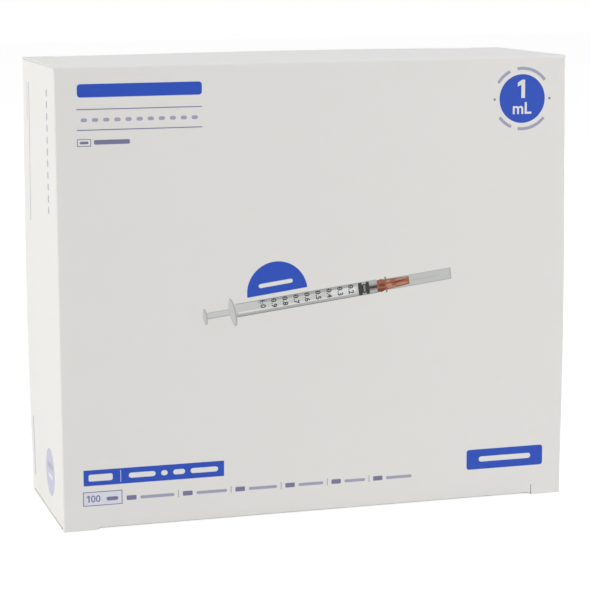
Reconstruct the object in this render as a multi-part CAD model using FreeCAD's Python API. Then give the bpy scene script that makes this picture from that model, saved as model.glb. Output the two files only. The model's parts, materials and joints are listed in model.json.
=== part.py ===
"""A folding carton of individually wrapped tuberculin syringes, closed, in millimetres.

The carton is a reverse tuck box folded from one coated white board. The lid folds at the top of the
front panel and tucks in behind the back panel. The bottom closure folds at the foot of the back panel
and tucks in behind the front panel. Inside stand a hundred sealed packs, each with one syringe, in two
files one behind the other.

Frame: the origin is the middle of the foot, X runs along the front to the right, the front panel looks
towards -Y, and Z is up.
"""
import FreeCAD, Part
import math
import os

from FreeCAD import Vector

# Carton, outside, measured over the folds
WIDTH = 190.0
DEPTH = 66.0
HEIGHT = 165.0

# Board, its folds and the clearance between plies
BOARD = 0.6
FOLD_RADIUS = 1.2
CORNER_RADIUS = 1.0
PLY_GAP = 0.3

# How far the filled carton swells between its folds, and the straight ends that don't
SIDE_SWELL = 0.8
FACE_SWELL = 1.3
BELLY_LEVEL = 68.0
BELLY_STATIONS = 7
STRAIGHT_END = 6.0

# Closures: the lid and the bottom flap
CLOSURE_INSET = 0.5
SLIT_LENGTH = 12.0
TUCK_LENGTH = 13.0
TUCK_END_GAP = 2.0
TUCK_CORNER = 9.0
TUCK_GAP = 0.4
TUCK_LEAN = 7.0
LID_RISE = 0.5
LID_RISE_SKEW = 0.3
LID_STATIONS = 9

# Dust flaps, on the side panels at both ends of the box
DUST_LENGTH = 48.0
DUST_BEVEL = 6.0
DUST_TUCK_SETBACK = 4.0
DUST_HINGE_SETBACK = 1.0
DUST_CORNER = 5.0

# Glued seam inside the right back corner
SEAM_WIDTH = 14.0
SEAM_TAPER = 8.0

# Free edge of the front panel's foot and the back panel's head: set back between two full corners
EDGE_RAMP = 1.5
NICK_WIDTH = 0.4
NICK_HEIGHT = 3.0

# Wrapped syringes: a flat pack with a bulge along the syringe, wide at its finger flange
RANKS = 50
PACK_HEADROOM = 5.7
PACK_SIDE_GAP = 2.75
PACK_FILM = 0.4
PACK_OFFSET = 6.5
PACK_SEAL = 9.0
BARREL_THICK = 6.2
BARREL_FLAT = 2.4
FLANGE_FLAT = 10.0
CAP_THICK = 4.6
DRAPE_SLOPE = 0.9
HEAD_LENGTH = 26.0
FILE_GAP = 0.5
WALL_GAP = 0.4

# Levels and planes that closures, flaps and panels share
FRONT = -DEPTH / 2
BACK = DEPTH / 2
LID_UNDERSIDE = HEIGHT - BOARD
HINGE_LEVEL = HEIGHT - FOLD_RADIUS
DUST_TOP = LID_UNDERSIDE - PLY_GAP
DUST_FOLD_LEVEL = DUST_TOP - FOLD_RADIUS
FOOT_EDGE = HEIGHT - DUST_TOP
SLIT_X = WIDTH / 2 - SLIT_LENGTH
INNER_RADIUS = FOLD_RADIUS - BOARD
TUCK_CENTRE_Y = BACK - BOARD - TUCK_GAP - FOLD_RADIUS

# Where the packs stand, and the room left for each of them
FLAP_FLOOR = FOOT_EDGE + BOARD + PLY_GAP
CLOSURE_FLOOR = BOARD + PLY_GAP
PACK_LENGTH = DUST_TOP - BOARD - PACK_HEADROOM - FLAP_FLOOR
PACK_WIDTH = (DEPTH - FILE_GAP) / 2 - BOARD - PACK_SIDE_GAP


def block(x0, x1, y0, y1, z0, z1):
    """Return a box between two corners."""
    return Part.makeBox(x1 - x0, y1 - y0, z1 - z0, Vector(x0, y0, z0))


def turned_over(shape):
    """Return the shape turned top to bottom, half a turn about the carton's middle X line."""
    copy = shape.copy()
    copy.rotate(Vector(0, 0, HEIGHT / 2), Vector(1, 0, 0), 180)
    return copy


def mirrored(shape):
    """Return the shape mirrored from one side of the carton to the other."""
    return shape.mirror(Vector(0, 0, 0), Vector(1, 0, 0))


def both_sides(shape):
    """Return the shape and its mirror image on the carton's other side."""
    return [shape, mirrored(shape)]


def polar(centre, radius, degrees):
    """Return the point of a YZ circle in a direction, with 0 towards +Y and 90 upwards."""
    angle = math.radians(degrees)
    return centre + Vector(0, radius * math.cos(angle), radius * math.sin(angle))


def bend(centre, radius, start, end):
    """Return a fold's arc in a YZ plane, from one direction to another."""
    directions = (start, (start + end) / 2, end)
    return Part.Arc(*[polar(centre, radius, degrees) for degrees in directions]).toShape()


def rounded_plate(corners, z0, z1):
    """Return a level plate from (x, y, radius) corners, each rounded by its own radius."""
    points = [Vector(x, y, z0) for x, y, radius in corners]
    edges = []
    ends = []
    for index, corner in enumerate(points):
        radius = corners[index][2]
        if radius == 0:
            ends.append((corner, corner))
            continue
        to_last = (points[index - 1] - corner).normalize()
        to_next = (points[(index + 1) % len(points)] - corner).normalize()
        half = to_last.getAngle(to_next) / 2
        reach = radius / math.tan(half)
        start = corner + to_last * reach
        end = corner + to_next * reach
        towards_centre = (to_last + to_next).normalize()
        middle = corner + towards_centre * (radius / math.sin(half) - radius)
        edges.append(Part.Arc(start, middle, end).toShape())
        ends.append((start, end))
    for index in range(len(ends)):
        edges.append(Part.makeLine(ends[index - 1][1], ends[index][0]))
    wire = Part.Wire(Part.__sortEdges__(edges))
    return Part.Face(wire).extrude(Vector(0, 0, z1 - z0))


# The four panels


def ring(z, inset, swell):
    """Return the panels' level outline at height z, moved in by inset, at a share of the full swell."""
    half_x = WIDTH / 2 + SIDE_SWELL * swell - inset
    half_y = DEPTH / 2 - inset
    crown_y = half_y + FACE_SWELL * swell
    radius = max(CORNER_RADIUS - inset, 0)
    flat_x = half_x - radius
    flat_y = half_y - radius
    turn = radius * math.sqrt(0.5)
    edges = []
    for side in (-1, 1):
        start = Vector(side * flat_x, side * half_y, z)
        end = Vector(-side * flat_x, side * half_y, z)
        near = Vector(-side * half_x, side * flat_y, z)
        far = Vector(-side * half_x, -side * flat_y, z)
        next_start = Vector(-side * flat_x, -side * half_y, z)
        if swell > 0:
            edges.append(Part.Arc(start, Vector(0, side * crown_y, z), end).toShape())
        else:
            edges.append(Part.makeLine(start, end))
        if radius > 0:
            turning = Vector(-side * (flat_x + turn), side * (flat_y + turn), z)
            edges.append(Part.Arc(end, turning, near).toShape())
        edges.append(Part.makeLine(near, far))
        if radius > 0:
            turning = Vector(-side * (flat_x + turn), -side * (flat_y + turn), z)
            edges.append(Part.Arc(far, turning, next_start).toShape())
    return Part.Wire(edges)


def core(inset):
    """Return the filled form of the box moved in by inset, straight at both ends and swollen between."""
    low = STRAIGHT_END
    high = HEIGHT - STRAIGHT_END
    foot = Part.Face(ring(0, inset, 0)).extrude(Vector(0, 0, STRAIGHT_END))
    head = Part.Face(ring(high, inset, 0)).extrude(Vector(0, 0, STRAIGHT_END))
    sections = []
    for station in range(BELLY_STATIONS):
        share = station / (BELLY_STATIONS - 1)
        level = low + (high - low) * share
        if level < BELLY_LEVEL:
            fullness = (level - low) / (BELLY_LEVEL - low)
        else:
            fullness = (high - level) / (high - BELLY_LEVEL)
        sections.append(ring(level, inset, math.sin(fullness * math.pi / 2)))
    belly = Part.makeLoft(sections, True, True)
    return foot.fuse([belly, head])


def dust_flap():
    """Return the right top dust flap with its fold: a tapered leaf with two rounded corners."""
    fold_x = WIDTH / 2 - FOLD_RADIUS
    tip_x = WIDTH / 2 - DUST_LENGTH
    inner = INNER_RADIUS
    turn = math.sqrt(0.5)
    low = DUST_FOLD_LEVEL
    outer_start = Vector(WIDTH / 2, FRONT, low)
    outer_middle = Vector(fold_x + FOLD_RADIUS * turn, FRONT, low + FOLD_RADIUS * turn)
    outer_end = Vector(fold_x, FRONT, DUST_TOP)
    inner_start = Vector(fold_x, FRONT, DUST_TOP - BOARD)
    inner_middle = Vector(fold_x + inner * turn, FRONT, low + inner * turn)
    inner_end = Vector(WIDTH / 2 - BOARD, FRONT, low)
    tip_top = Vector(tip_x, FRONT, DUST_TOP)
    tip_under = Vector(tip_x, FRONT, DUST_TOP - BOARD)
    section = Part.Wire([
        Part.Arc(outer_start, outer_middle, outer_end).toShape(),
        Part.makeLine(outer_end, tip_top),
        Part.makeLine(tip_top, tip_under),
        Part.makeLine(tip_under, inner_start),
        Part.Arc(inner_start, inner_middle, inner_end).toShape(),
        Part.makeLine(inner_end, outer_start),
    ])
    folded = Part.Face(section).extrude(Vector(0, DEPTH, 0))
    hinge_y = FRONT + BOARD + DUST_HINGE_SETBACK
    tuck_y = BACK - DUST_TUCK_SETBACK
    outline = [
        (WIDTH / 2 + BOARD, hinge_y, 0),
        (WIDTH / 2 + BOARD, tuck_y, 0),
        (tip_x, tuck_y, DUST_CORNER),
        (tip_x, hinge_y + DUST_BEVEL, DUST_CORNER),
        (fold_x - BOARD, hinge_y, 0),
    ]
    return folded.common(rounded_plate(outline, low - BOARD, HEIGHT))


def seam_flap():
    """Return the glue flap: the back panel's edge, turned in and stuck inside the right side panel."""
    ply = core(BOARD).cut(core(2 * BOARD))
    inner_y = BACK - BOARD - SEAM_WIDTH
    corner_y = BACK - BOARD / 2
    low = STRAIGHT_END
    high = HEIGHT - STRAIGHT_END
    outline = Part.makePolygon([
        Vector(SLIT_X, corner_y, low),
        Vector(SLIT_X, inner_y, low + SEAM_TAPER),
        Vector(SLIT_X, inner_y, high - SEAM_TAPER),
        Vector(SLIT_X, corner_y, high),
        Vector(SLIT_X, corner_y, low),
    ])
    strip = Part.Face(outline).extrude(Vector(WIDTH - SLIT_X, 0, 0))
    clear_of_back = block(SLIT_X, WIDTH / 2 - BOARD - CORNER_RADIUS, BACK - 3 * BOARD, BACK, 0, HEIGHT)
    return ply.common(strip).cut(clear_of_back)


def free_edge_recess():
    """Return the shallow recess along the back panel's head, between its two full corners."""
    recess = Part.makePolygon([
        Vector(-SLIT_X, BACK - CORNER_RADIUS, HEIGHT),
        Vector(-SLIT_X + EDGE_RAMP, BACK - CORNER_RADIUS, DUST_TOP),
        Vector(SLIT_X - EDGE_RAMP, BACK - CORNER_RADIUS, DUST_TOP),
        Vector(SLIT_X, BACK - CORNER_RADIUS, HEIGHT),
        Vector(-SLIT_X, BACK - CORNER_RADIUS, HEIGHT),
    ])
    return Part.Face(recess).extrude(Vector(0, 2 * CORNER_RADIUS, 0))


def carton_body():
    """Return the folded sheet without its closures: four panels, four dust flaps and the seam."""
    tube = core(0).cut(core(BOARD))
    reach = WIDTH
    fold_gap = block(-reach, reach, FRONT - BOARD, FRONT + CORNER_RADIUS, HINGE_LEVEL, HEIGHT)
    side_gap = block(
        WIDTH / 2 - FOLD_RADIUS, reach, FRONT + CORNER_RADIUS, BACK - CORNER_RADIUS, DUST_FOLD_LEVEL, HEIGHT
    )
    top_gaps = [fold_gap, free_edge_recess()] + both_sides(side_gap)
    gaps = top_gaps + [turned_over(gap) for gap in top_gaps]
    nick = block(SLIT_X, SLIT_X + NICK_WIDTH, FRONT - BOARD, FRONT + 2 * BOARD, 0, FOOT_EDGE + NICK_HEIGHT)
    panels = tube.cut(gaps + [nick])
    top_flaps = both_sides(dust_flap())
    flaps = top_flaps + [turned_over(flap) for flap in top_flaps]
    return panels.fuse(flaps + [seam_flap()]).removeSplitter()


# The two closures


def tuck_leaf(centre):
    """Return the tuck's three straight edges below its fold, from the outer face to the inner one."""
    lean = math.radians(TUCK_LEAN)
    fall = Vector(0, -math.sin(lean), -math.cos(lean)) * (TUCK_LENGTH - FOLD_RADIUS)
    outer = polar(centre, FOLD_RADIUS, -TUCK_LEAN)
    inner = polar(centre, INNER_RADIUS, -TUCK_LEAN)
    return [
        Part.makeLine(outer, outer + fall),
        Part.makeLine(outer + fall, inner + fall),
        Part.makeLine(inner + fall, inner),
    ]


def hinge_fold(centre):
    """Return the closure's rolled fold at its hinge: inner arc, end of the ply and outer arc."""
    return [
        bend(centre, INNER_RADIUS, 90, 180),
        Part.makeLine(polar(centre, INNER_RADIUS, 180), polar(centre, FOLD_RADIUS, 180)),
        bend(centre, FOLD_RADIUS, 180, 90),
    ]


def fold_section(x, rise):
    """Return the lid's section at x with its tuck, the panel's back edge raised by rise."""
    hinge = Vector(x, FRONT + FOLD_RADIUS, HINGE_LEVEL)
    tuck = Vector(x, TUCK_CENTRE_Y, HINGE_LEVEL + rise)
    top = Part.makeLine(polar(hinge, FOLD_RADIUS, 90), polar(tuck, FOLD_RADIUS, 90))
    underside = Part.makeLine(polar(tuck, INNER_RADIUS, 90), polar(hinge, INNER_RADIUS, 90))
    outer_bend = bend(tuck, FOLD_RADIUS, 90, -TUCK_LEAN)
    inner_bend = bend(tuck, INNER_RADIUS, -TUCK_LEAN, 90)
    return Part.Wire(hinge_fold(hinge) + [top, outer_bend] + tuck_leaf(tuck) + [inner_bend, underside])


def closure_end():
    """Return the closure's right end past its slit: a flat corner over a separate wing of the tuck."""
    hinge = Vector(SLIT_X, FRONT + FOLD_RADIUS, HINGE_LEVEL)
    free_edge_y = BACK - CORNER_RADIUS - PLY_GAP
    top_back = Vector(SLIT_X, free_edge_y, HEIGHT)
    under_back = Vector(SLIT_X, free_edge_y, LID_UNDERSIDE)
    corner = Part.Wire(hinge_fold(hinge) + [
        Part.makeLine(polar(hinge, FOLD_RADIUS, 90), top_back),
        Part.makeLine(top_back, under_back),
        Part.makeLine(under_back, polar(hinge, INNER_RADIUS, 90)),
    ])
    flat = Part.Face(corner).extrude(Vector(SLIT_LENGTH - CLOSURE_INSET, 0, 0))
    centre = Vector(SLIT_X, TUCK_CENTRE_Y, HINGE_LEVEL)
    root = Part.makeLine(polar(centre, INNER_RADIUS, -TUCK_LEAN), polar(centre, FOLD_RADIUS, -TUCK_LEAN))
    leaf = Part.Face(Part.Wire(tuck_leaf(centre) + [root]))
    wing = leaf.extrude(Vector(SLIT_LENGTH - TUCK_END_GAP, 0, 0))
    end_x = WIDTH / 2 - TUCK_END_GAP
    tip_z = leaf.BoundBox.ZMin
    square = block(end_x - TUCK_CORNER, end_x + BOARD, 0, BACK, tip_z - BOARD, tip_z + TUCK_CORNER)
    centre_point = Vector(end_x - TUCK_CORNER, 0, tip_z + TUCK_CORNER)
    rounding = Part.makeCylinder(TUCK_CORNER, BACK, centre_point, Vector(0, 1, 0))
    return [flat, wing.cut(square.cut(rounding))]


def closure(rise):
    """Return a whole closure in the lid's place, its free edge bowed up by rise between the slits."""
    stations = LID_STATIONS if rise > 0 else 2
    sections = []
    for station in range(stations):
        share = station / (stations - 1)
        height = rise * 4 * share * (1 - share) * (1 + LID_RISE_SKEW * (2 * share - 1))
        sections.append(fold_section(SLIT_X * (2 * share - 1), height))
    middle = Part.makeLoft(sections, True, True)
    ends = closure_end()
    return middle.fuse(ends + [mirrored(end) for end in ends])


# The wrapped syringes


def drape(z, flat, thick):
    """Return the six corners of the film draped round the syringe at height z."""
    half_flat = flat / 2
    base = half_flat + DRAPE_SLOPE * thick / 2
    half = thick / 2
    outline = [
        (0, -base), (half, -half_flat), (half, half_flat),
        (0, base), (-half, half_flat), (-half, -half_flat),
    ]
    return [Vector(x, y, z) for x, y in outline]


def pack():
    """Return one wrapped syringe standing on its needle end, in the plane x = 0, about y = 0."""
    film = block(
        -PACK_FILM / 2, PACK_FILM / 2,
        -PACK_WIDTH / 2, PACK_WIDTH / 2,
        0, PACK_LENGTH,
    )
    head_z = PACK_LENGTH - PACK_SEAL - BARREL_THICK
    flange_z = head_z - HEAD_LENGTH
    barrel_z = flange_z - BARREL_THICK
    levels = [
        drape(PACK_SEAL, BARREL_FLAT, PACK_FILM / 2),
        drape(PACK_SEAL + BARREL_THICK, BARREL_FLAT, CAP_THICK),
        drape(barrel_z, BARREL_FLAT, BARREL_THICK),
        drape(flange_z, FLANGE_FLAT, BARREL_THICK),
        drape(head_z, BARREL_FLAT, BARREL_THICK),
        drape(PACK_LENGTH - PACK_SEAL, BARREL_FLAT, PACK_FILM / 2),
    ]
    faces = [
        Part.Face(Part.makePolygon(levels[0] + levels[0][:1])),
        Part.Face(Part.makePolygon(levels[-1] + levels[-1][:1])),
    ]
    for lower, upper in zip(levels, levels[1:]):
        for index in range(len(lower)):
            following = (index + 1) % len(lower)
            outline = [lower[index], lower[following], upper[following], upper[index], lower[index]]
            faces.append(Part.Face(Part.makePolygon(outline)))
    bulge = Part.Solid(Part.Shell(faces))
    if bulge.Volume < 0:
        bulge.reverse()
    bulge.translate(Vector(0, PACK_OFFSET, 0))
    return film.fuse(bulge).removeSplitter()


def rank(number, upright):
    """Return the two packs of one rank, front and rear; every second rank is turned head down."""
    half = BARREL_THICK / 2
    first_x = -WIDTH / 2 + BOARD + WALL_GAP + half
    last_x = WIDTH / 2 - 2 * BOARD - WALL_GAP - half
    x = first_x + (last_x - first_x) * number / (RANKS - 1)
    over_flap = abs(x) + half > WIDTH / 2 - DUST_LENGTH - WALL_GAP
    floor = FLAP_FLOOR if over_flap else CLOSURE_FLOOR
    file_y = (PACK_WIDTH + FILE_GAP) / 2
    packs = []
    for side in (-1, 1):
        piece = upright.copy()
        if number % 2:
            piece.rotate(Vector(0, 0, PACK_LENGTH / 2), Vector(1, 0, 0), 180)
        piece.translate(Vector(x, side * file_y, floor))
        packs.append(piece)
    return Part.makeCompound(packs)


def main():
    """Build every node and write it to its own file."""
    nodes = {
        "carton_body": carton_body(),
        "top_lid": closure(LID_RISE),
        "bottom_closure": turned_over(closure(0)),
    }
    upright = pack()
    for number in range(RANKS):
        nodes[f"wrapped_syringes_{number + 1:02d}"] = rank(number, upright)
    os.makedirs("parts", exist_ok=True)
    for name, shape in nodes.items():
        shape.exportStep(f"parts/{name}.step")


main()
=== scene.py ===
"""The looks of a closed folding carton of wrapped syringes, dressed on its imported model.

Lengths are written in millimetres and become metres where a mesh, a lamp or the camera is made. The
frame is the model's own: the origin is the middle of the carton's foot, X runs along the front to the
right, the front panel looks towards -Y, and Z is up.
"""

import json
import logging
import math
import random
from collections.abc import Callable, Iterable, Sequence
from dataclasses import dataclass, field
from enum import Enum

import bpy
from mathutils import Matrix, Vector
from mathutils.geometry import delaunay_2d_cdt

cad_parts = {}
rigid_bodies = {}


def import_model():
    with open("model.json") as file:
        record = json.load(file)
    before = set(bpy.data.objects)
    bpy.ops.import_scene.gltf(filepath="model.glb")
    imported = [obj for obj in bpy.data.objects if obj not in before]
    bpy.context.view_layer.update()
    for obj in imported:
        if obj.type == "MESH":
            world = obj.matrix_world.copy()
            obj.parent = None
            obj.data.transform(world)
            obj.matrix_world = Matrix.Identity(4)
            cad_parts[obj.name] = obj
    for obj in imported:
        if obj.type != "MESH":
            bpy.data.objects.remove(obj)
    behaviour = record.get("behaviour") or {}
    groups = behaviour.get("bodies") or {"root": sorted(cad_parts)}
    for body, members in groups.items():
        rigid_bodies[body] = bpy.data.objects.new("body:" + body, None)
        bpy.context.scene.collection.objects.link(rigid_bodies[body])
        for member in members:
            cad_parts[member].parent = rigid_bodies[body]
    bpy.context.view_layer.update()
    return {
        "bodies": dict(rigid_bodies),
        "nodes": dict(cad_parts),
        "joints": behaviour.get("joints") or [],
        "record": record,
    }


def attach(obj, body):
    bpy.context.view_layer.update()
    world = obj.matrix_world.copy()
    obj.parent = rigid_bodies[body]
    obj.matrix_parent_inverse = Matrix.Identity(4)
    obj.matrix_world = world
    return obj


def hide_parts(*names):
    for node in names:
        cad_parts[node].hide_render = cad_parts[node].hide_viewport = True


LOG = logging.getLogger("carton")
MM = 0.001
PHOTO_WIDTH = 590
PHOTO_HEIGHT = 591
SHARP_BOARD = 40.0
SHARP_PACK = 45.0

Point = tuple[float, float]
Triple = tuple[float, float, float]
Loop = list[Point]
Four = tuple[float, float, float, float]
Surface = Callable[[float, float], tuple[Vector, Vector]]


class Body(Enum):
    """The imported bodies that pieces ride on."""

    CARTON = "carton"
    LID = "lid"
    CLOSURE = "closure"


class Slot(Enum):
    """The record's material slots."""

    BOARD = "board"
    WRAP = "wrap"


class Ply(Enum):
    """Faces of the board, in the order of its material slots."""

    PRINTED = 0
    INSIDE = 1
    CUT_EDGE = 2


# Sizes shared by the sub-assemblies


@dataclass(frozen=True)
class CartonSizes:
    """Outside sizes of the folded carton, its board and its swell."""

    width: float = 190.0
    depth: float = 66.0
    height: float = 165.0
    board: float = 0.6
    fold_radius: float = 1.2
    dust_fold_radius: float = 0.7
    corner_radius: float = 0.75
    ply_gap: float = 0.06
    edge_gap: float = 0.15
    recess: float = 0.9
    side_swell: float = 0.75
    near_swell: float = 0.0
    face_swell: float = 1.22
    belly_level: float = 68.0
    straight_end: float = 6.0
    swell_ease: float = 0.06
    slit_length: float = 12.0
    ripple: float = 0.05
    ripple_lengths: Four = (17.0, 21.0, 29.0, 24.0)
    ripple_phases: Triple = (0.7, 1.9, 0.4)
    ripple_second: float = 0.6

    @property
    def half_width(self) -> float:
        """Half of the carton's width."""
        return self.width / 2

    @property
    def half_depth(self) -> float:
        """Half of the carton's depth."""
        return self.depth / 2

    @property
    def slit_x(self) -> float:
        """Where the closures' slits start, from the middle."""
        return self.half_width - self.slit_length

    @property
    def hinge_level(self) -> float:
        """Level at which the lid's fold starts on the front panel."""
        return self.height - self.fold_radius

    @property
    def dust_top(self) -> float:
        """Upper face of the top dust flaps."""
        return self.height - self.board - self.ply_gap

    @property
    def dust_fold_level(self) -> float:
        """Level at which the dust flaps' folds start on the side panels."""
        return self.dust_top - self.dust_fold_radius

    def swell(self, z: float) -> float:
        """Return how full the panels are at height z.

        Args:
            z: Height above the foot.

        Returns:
            0 at the straight ends, 1 at the belly, with a soft start.
        """
        low = self.straight_end
        high = self.height - self.straight_end
        if z <= low or z >= high:
            return 0.0
        if z < self.belly_level:
            share = (z - low) / (self.belly_level - low)
        else:
            share = (high - z) / (high - self.belly_level)
        ease = self.swell_ease
        soft = share - ease * (1 - math.exp(-share / ease))
        full = 1 - ease * (1 - math.exp(-1 / ease))
        return math.sin(soft / full * math.pi / 2)

    def panel_ripple(self, along: float, z: float) -> float:
        """Return how far the board stands inside its smooth surface, as filled board does.

        Args:
            along: Place along the panel.
            z: Height above the foot.

        Returns:
            A depth from 0 up to the ripple's size.
        """
        along_length, up_length, slant_along, slant_up = self.ripple_lengths
        along_phase, up_phase, slant_phase = self.ripple_phases
        wave = math.sin(along / along_length + along_phase) * math.sin(z / up_length + up_phase)
        wave += self.ripple_second * math.sin(along / slant_along - z / slant_up + slant_phase)
        return self.ripple * (wave / (1 + self.ripple_second) + 1) / 2 * self.swell(z)

    def front(self, x: float, z: float) -> tuple[Vector, Vector]:
        """Return a point of the front panel's outer surface, and the outward normal."""
        return surface_with_normal(self._front_point, x, z, Vector((0, -1, 0)))

    def left(self, y: float, z: float) -> tuple[Vector, Vector]:
        """Return a point of the left panel's outer surface, and the outward normal."""
        return surface_with_normal(self._left_point, y, z, Vector((-1, 0, 0)))

    def _front_point(self, x: float, z: float) -> Vector:
        """Return a point of the front panel's outer surface.

        Args:
            x: Place along the panel, from its middle.
            z: Height above the foot.

        Returns:
            The point, full in the middle and dented by the ripple.
        """
        swell = self.swell(z)
        flat_x = self.half_width - self.corner_radius + self.side_swell * swell
        share = max(-1.0, min(1.0, x / flat_x))
        out = self.face_swell * swell * (1 - share * share)
        dent = self.panel_ripple(x, z) * (1 - share**4)
        return Vector((x, -(self.half_depth + out - dent), z))

    def left_reach(self, y: float, z: float) -> float:
        """Return how far out the left panel stands; its front corner swells less than its back one.

        Args:
            y: Place across the panel, from its middle.
            z: Height above the foot.

        Returns:
            A distance from the carton's middle.
        """
        share = (y + self.half_depth) / self.depth
        swell = self.near_swell + (self.side_swell - self.near_swell) * share
        return self.half_width + swell * self.swell(z)

    def _left_point(self, y: float, z: float) -> Vector:
        """Return a point of the left panel's outer surface."""
        return Vector((-self.left_reach(y, z), y, z))


def surface_with_normal(
    point: Callable[[float, float], Vector], u: float, v: float, outward: Vector
) -> tuple[Vector, Vector]:
    """Return a surface's point and normal by small steps along it.

    Args:
        point: The surface.
        u: First place on it.
        v: Second place on it.
        outward: Roughly where the normal looks.

    Returns:
        The point and the unit normal.
    """
    step = 0.5
    along = point(u + step, v) - point(u - step, v)
    up = point(u, v + step) - point(u, v - step)
    normal = along.cross(up).normalized()
    if normal.dot(outward) < 0:
        normal.negate()
    return point(u, v), normal


# Mesh helpers


def new_object(name: str, data: bpy.types.ID) -> bpy.types.Object:
    """Return a new object that is linked to the scene.

    Args:
        name: Name of the object.
        data: Its mesh, lamp or camera.

    Returns:
        The object.
    """
    made = bpy.data.objects.new(name, data)
    bpy.context.scene.collection.objects.link(made)
    return made


def smooth(mesh: bpy.types.Mesh, sharp_angle: float) -> None:
    """Shade a mesh smooth, but keep the edges sharp that turn by more than an angle in degrees."""
    mesh.shade_smooth()
    mesh.set_sharp_from_angle(angle=math.radians(sharp_angle))


class Sheet:
    """An open mesh of a sheet's outer face, which is given its thickness at the end."""

    def __init__(self) -> None:
        """Start an empty sheet."""
        self.vertices: list[Vector] = []
        self.faces: list[list[int]] = []
        self.known: dict[tuple[int, ...], int] = {}

    def vertex(self, point: Vector) -> int:
        """Return the index of the vertex at a point, sharing one that is already there.

        Args:
            point: Where the vertex stands.

        Returns:
            Its index.
        """
        key = tuple(round(value * 1000) for value in point)
        if key not in self.known:
            self.known[key] = len(self.vertices)
            self.vertices.append(point.copy())
        return self.known[key]

    def face(self, points: Sequence[Vector]) -> None:
        """Add a face, leaving out corners that fall together.

        Args:
            points: Its corners, anticlockwise from outside.
        """
        corners = list(dict.fromkeys(self.vertex(point) for point in points))
        if len(corners) > 2:
            self.faces.append(corners)

    def grid(self, rows: Sequence[Sequence[Vector]]) -> None:
        """Add the faces between rows of points.

        Args:
            rows: Rows of points, all of one length, seen from outside left to right and bottom to top.
        """
        for low, high in zip(rows, rows[1:]):
            for column in range(len(low) - 1):
                self.face([low[column], low[column + 1], high[column + 1], high[column]])

    def build(
        self, name: str, thickness: float, materials: Sequence[bpy.types.Material]
    ) -> bpy.types.Object:
        """Return the sheet as a closed piece of board.

        Args:
            name: Name of the piece.
            thickness: Thickness of the board, laid inwards.
            materials: The materials of its outer face, its inner face and its cut edge.

        Returns:
            The finished object.
        """
        open_mesh = bpy.data.meshes.new(name)
        open_mesh.from_pydata([p * MM for p in self.vertices], [], self.faces)
        for material in materials:
            open_mesh.materials.append(material)
        draft = new_object(name + "_draft", open_mesh)
        solidify = draft.modifiers.new("thickness", "SOLIDIFY")
        solidify.thickness = thickness * MM
        solidify.offset = -1
        solidify.use_even_offset = True
        solidify.use_quality_normals = True
        solidify.material_offset = Ply.INSIDE.value
        solidify.material_offset_rim = Ply.CUT_EDGE.value
        graph = bpy.context.evaluated_depsgraph_get()
        mesh = bpy.data.meshes.new_from_object(draft.evaluated_get(graph), depsgraph=graph)
        bpy.data.objects.remove(draft)
        bpy.data.meshes.remove(open_mesh)
        mesh.name = name
        smooth(mesh, SHARP_BOARD)
        return new_object(name, mesh)


def turned_over(point: Vector, height: float) -> Vector:
    """Return a point turned half round about the carton's middle X line."""
    return Vector((point.x, -point.y, height - point.z))


class PieceMesh:
    """Closed faces gathered for one piece, each with the slot of its material."""

    def __init__(self) -> None:
        """Start with no faces."""
        self.vertices: list[Vector] = []
        self.faces: list[list[int]] = []
        self.slots: list[int] = []

    def add(self, slot: int, points: Sequence[Vector], faces: Sequence[Sequence[int]]) -> None:
        """Add faces over their own points.

        Args:
            slot: Slot of their material.
            points: Their points.
            faces: Their corners, as indices into the points.
        """
        base = len(self.vertices)
        self.vertices += points
        self.faces += [[base + index for index in face] for face in faces]
        self.slots += [slot] * len(faces)

    def build(
        self, name: str, materials: Iterable[bpy.types.Material], sharp_angle: float
    ) -> bpy.types.Object:
        """Return the finished object.

        Args:
            name: Name of the piece.
            materials: The materials, in the order of their slots.
            sharp_angle: Edges that turn by more than this many degrees stay sharp.

        Returns:
            The object.
        """
        mesh = bpy.data.meshes.new(name)
        mesh.from_pydata([point * MM for point in self.vertices], [], self.faces)
        for material in materials:
            mesh.materials.append(material)
        mesh.polygons.foreach_set("material_index", self.slots)
        smooth(mesh, sharp_angle)
        return new_object(name, mesh)


def steps(start: float, end: float, longest: float) -> list[float]:
    """Return evenly spaced stations from start to end, no further apart than the longest step."""
    count = max(1, math.ceil(abs(end - start) / longest - 1e-9))
    return [start + (end - start) * index / count for index in range(count + 1)]


def arc_points(centre: Point, radius: float, start: float, end: float, count: int) -> Loop:
    """Return points along an arc.

    Args:
        centre: Centre of the arc.
        radius: Radius of the arc.
        start: First direction in degrees, 0 along the first axis and 90 along the second.
        end: Last direction in degrees.
        count: Number of steps.

    Returns:
        count + 1 points.
    """
    points = []
    for index in range(count + 1):
        angle = math.radians(start + (end - start) * index / count)
        points.append((centre[0] + radius * math.cos(angle), centre[1] + radius * math.sin(angle)))
    return points


# Shader helpers and shared effects


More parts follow.
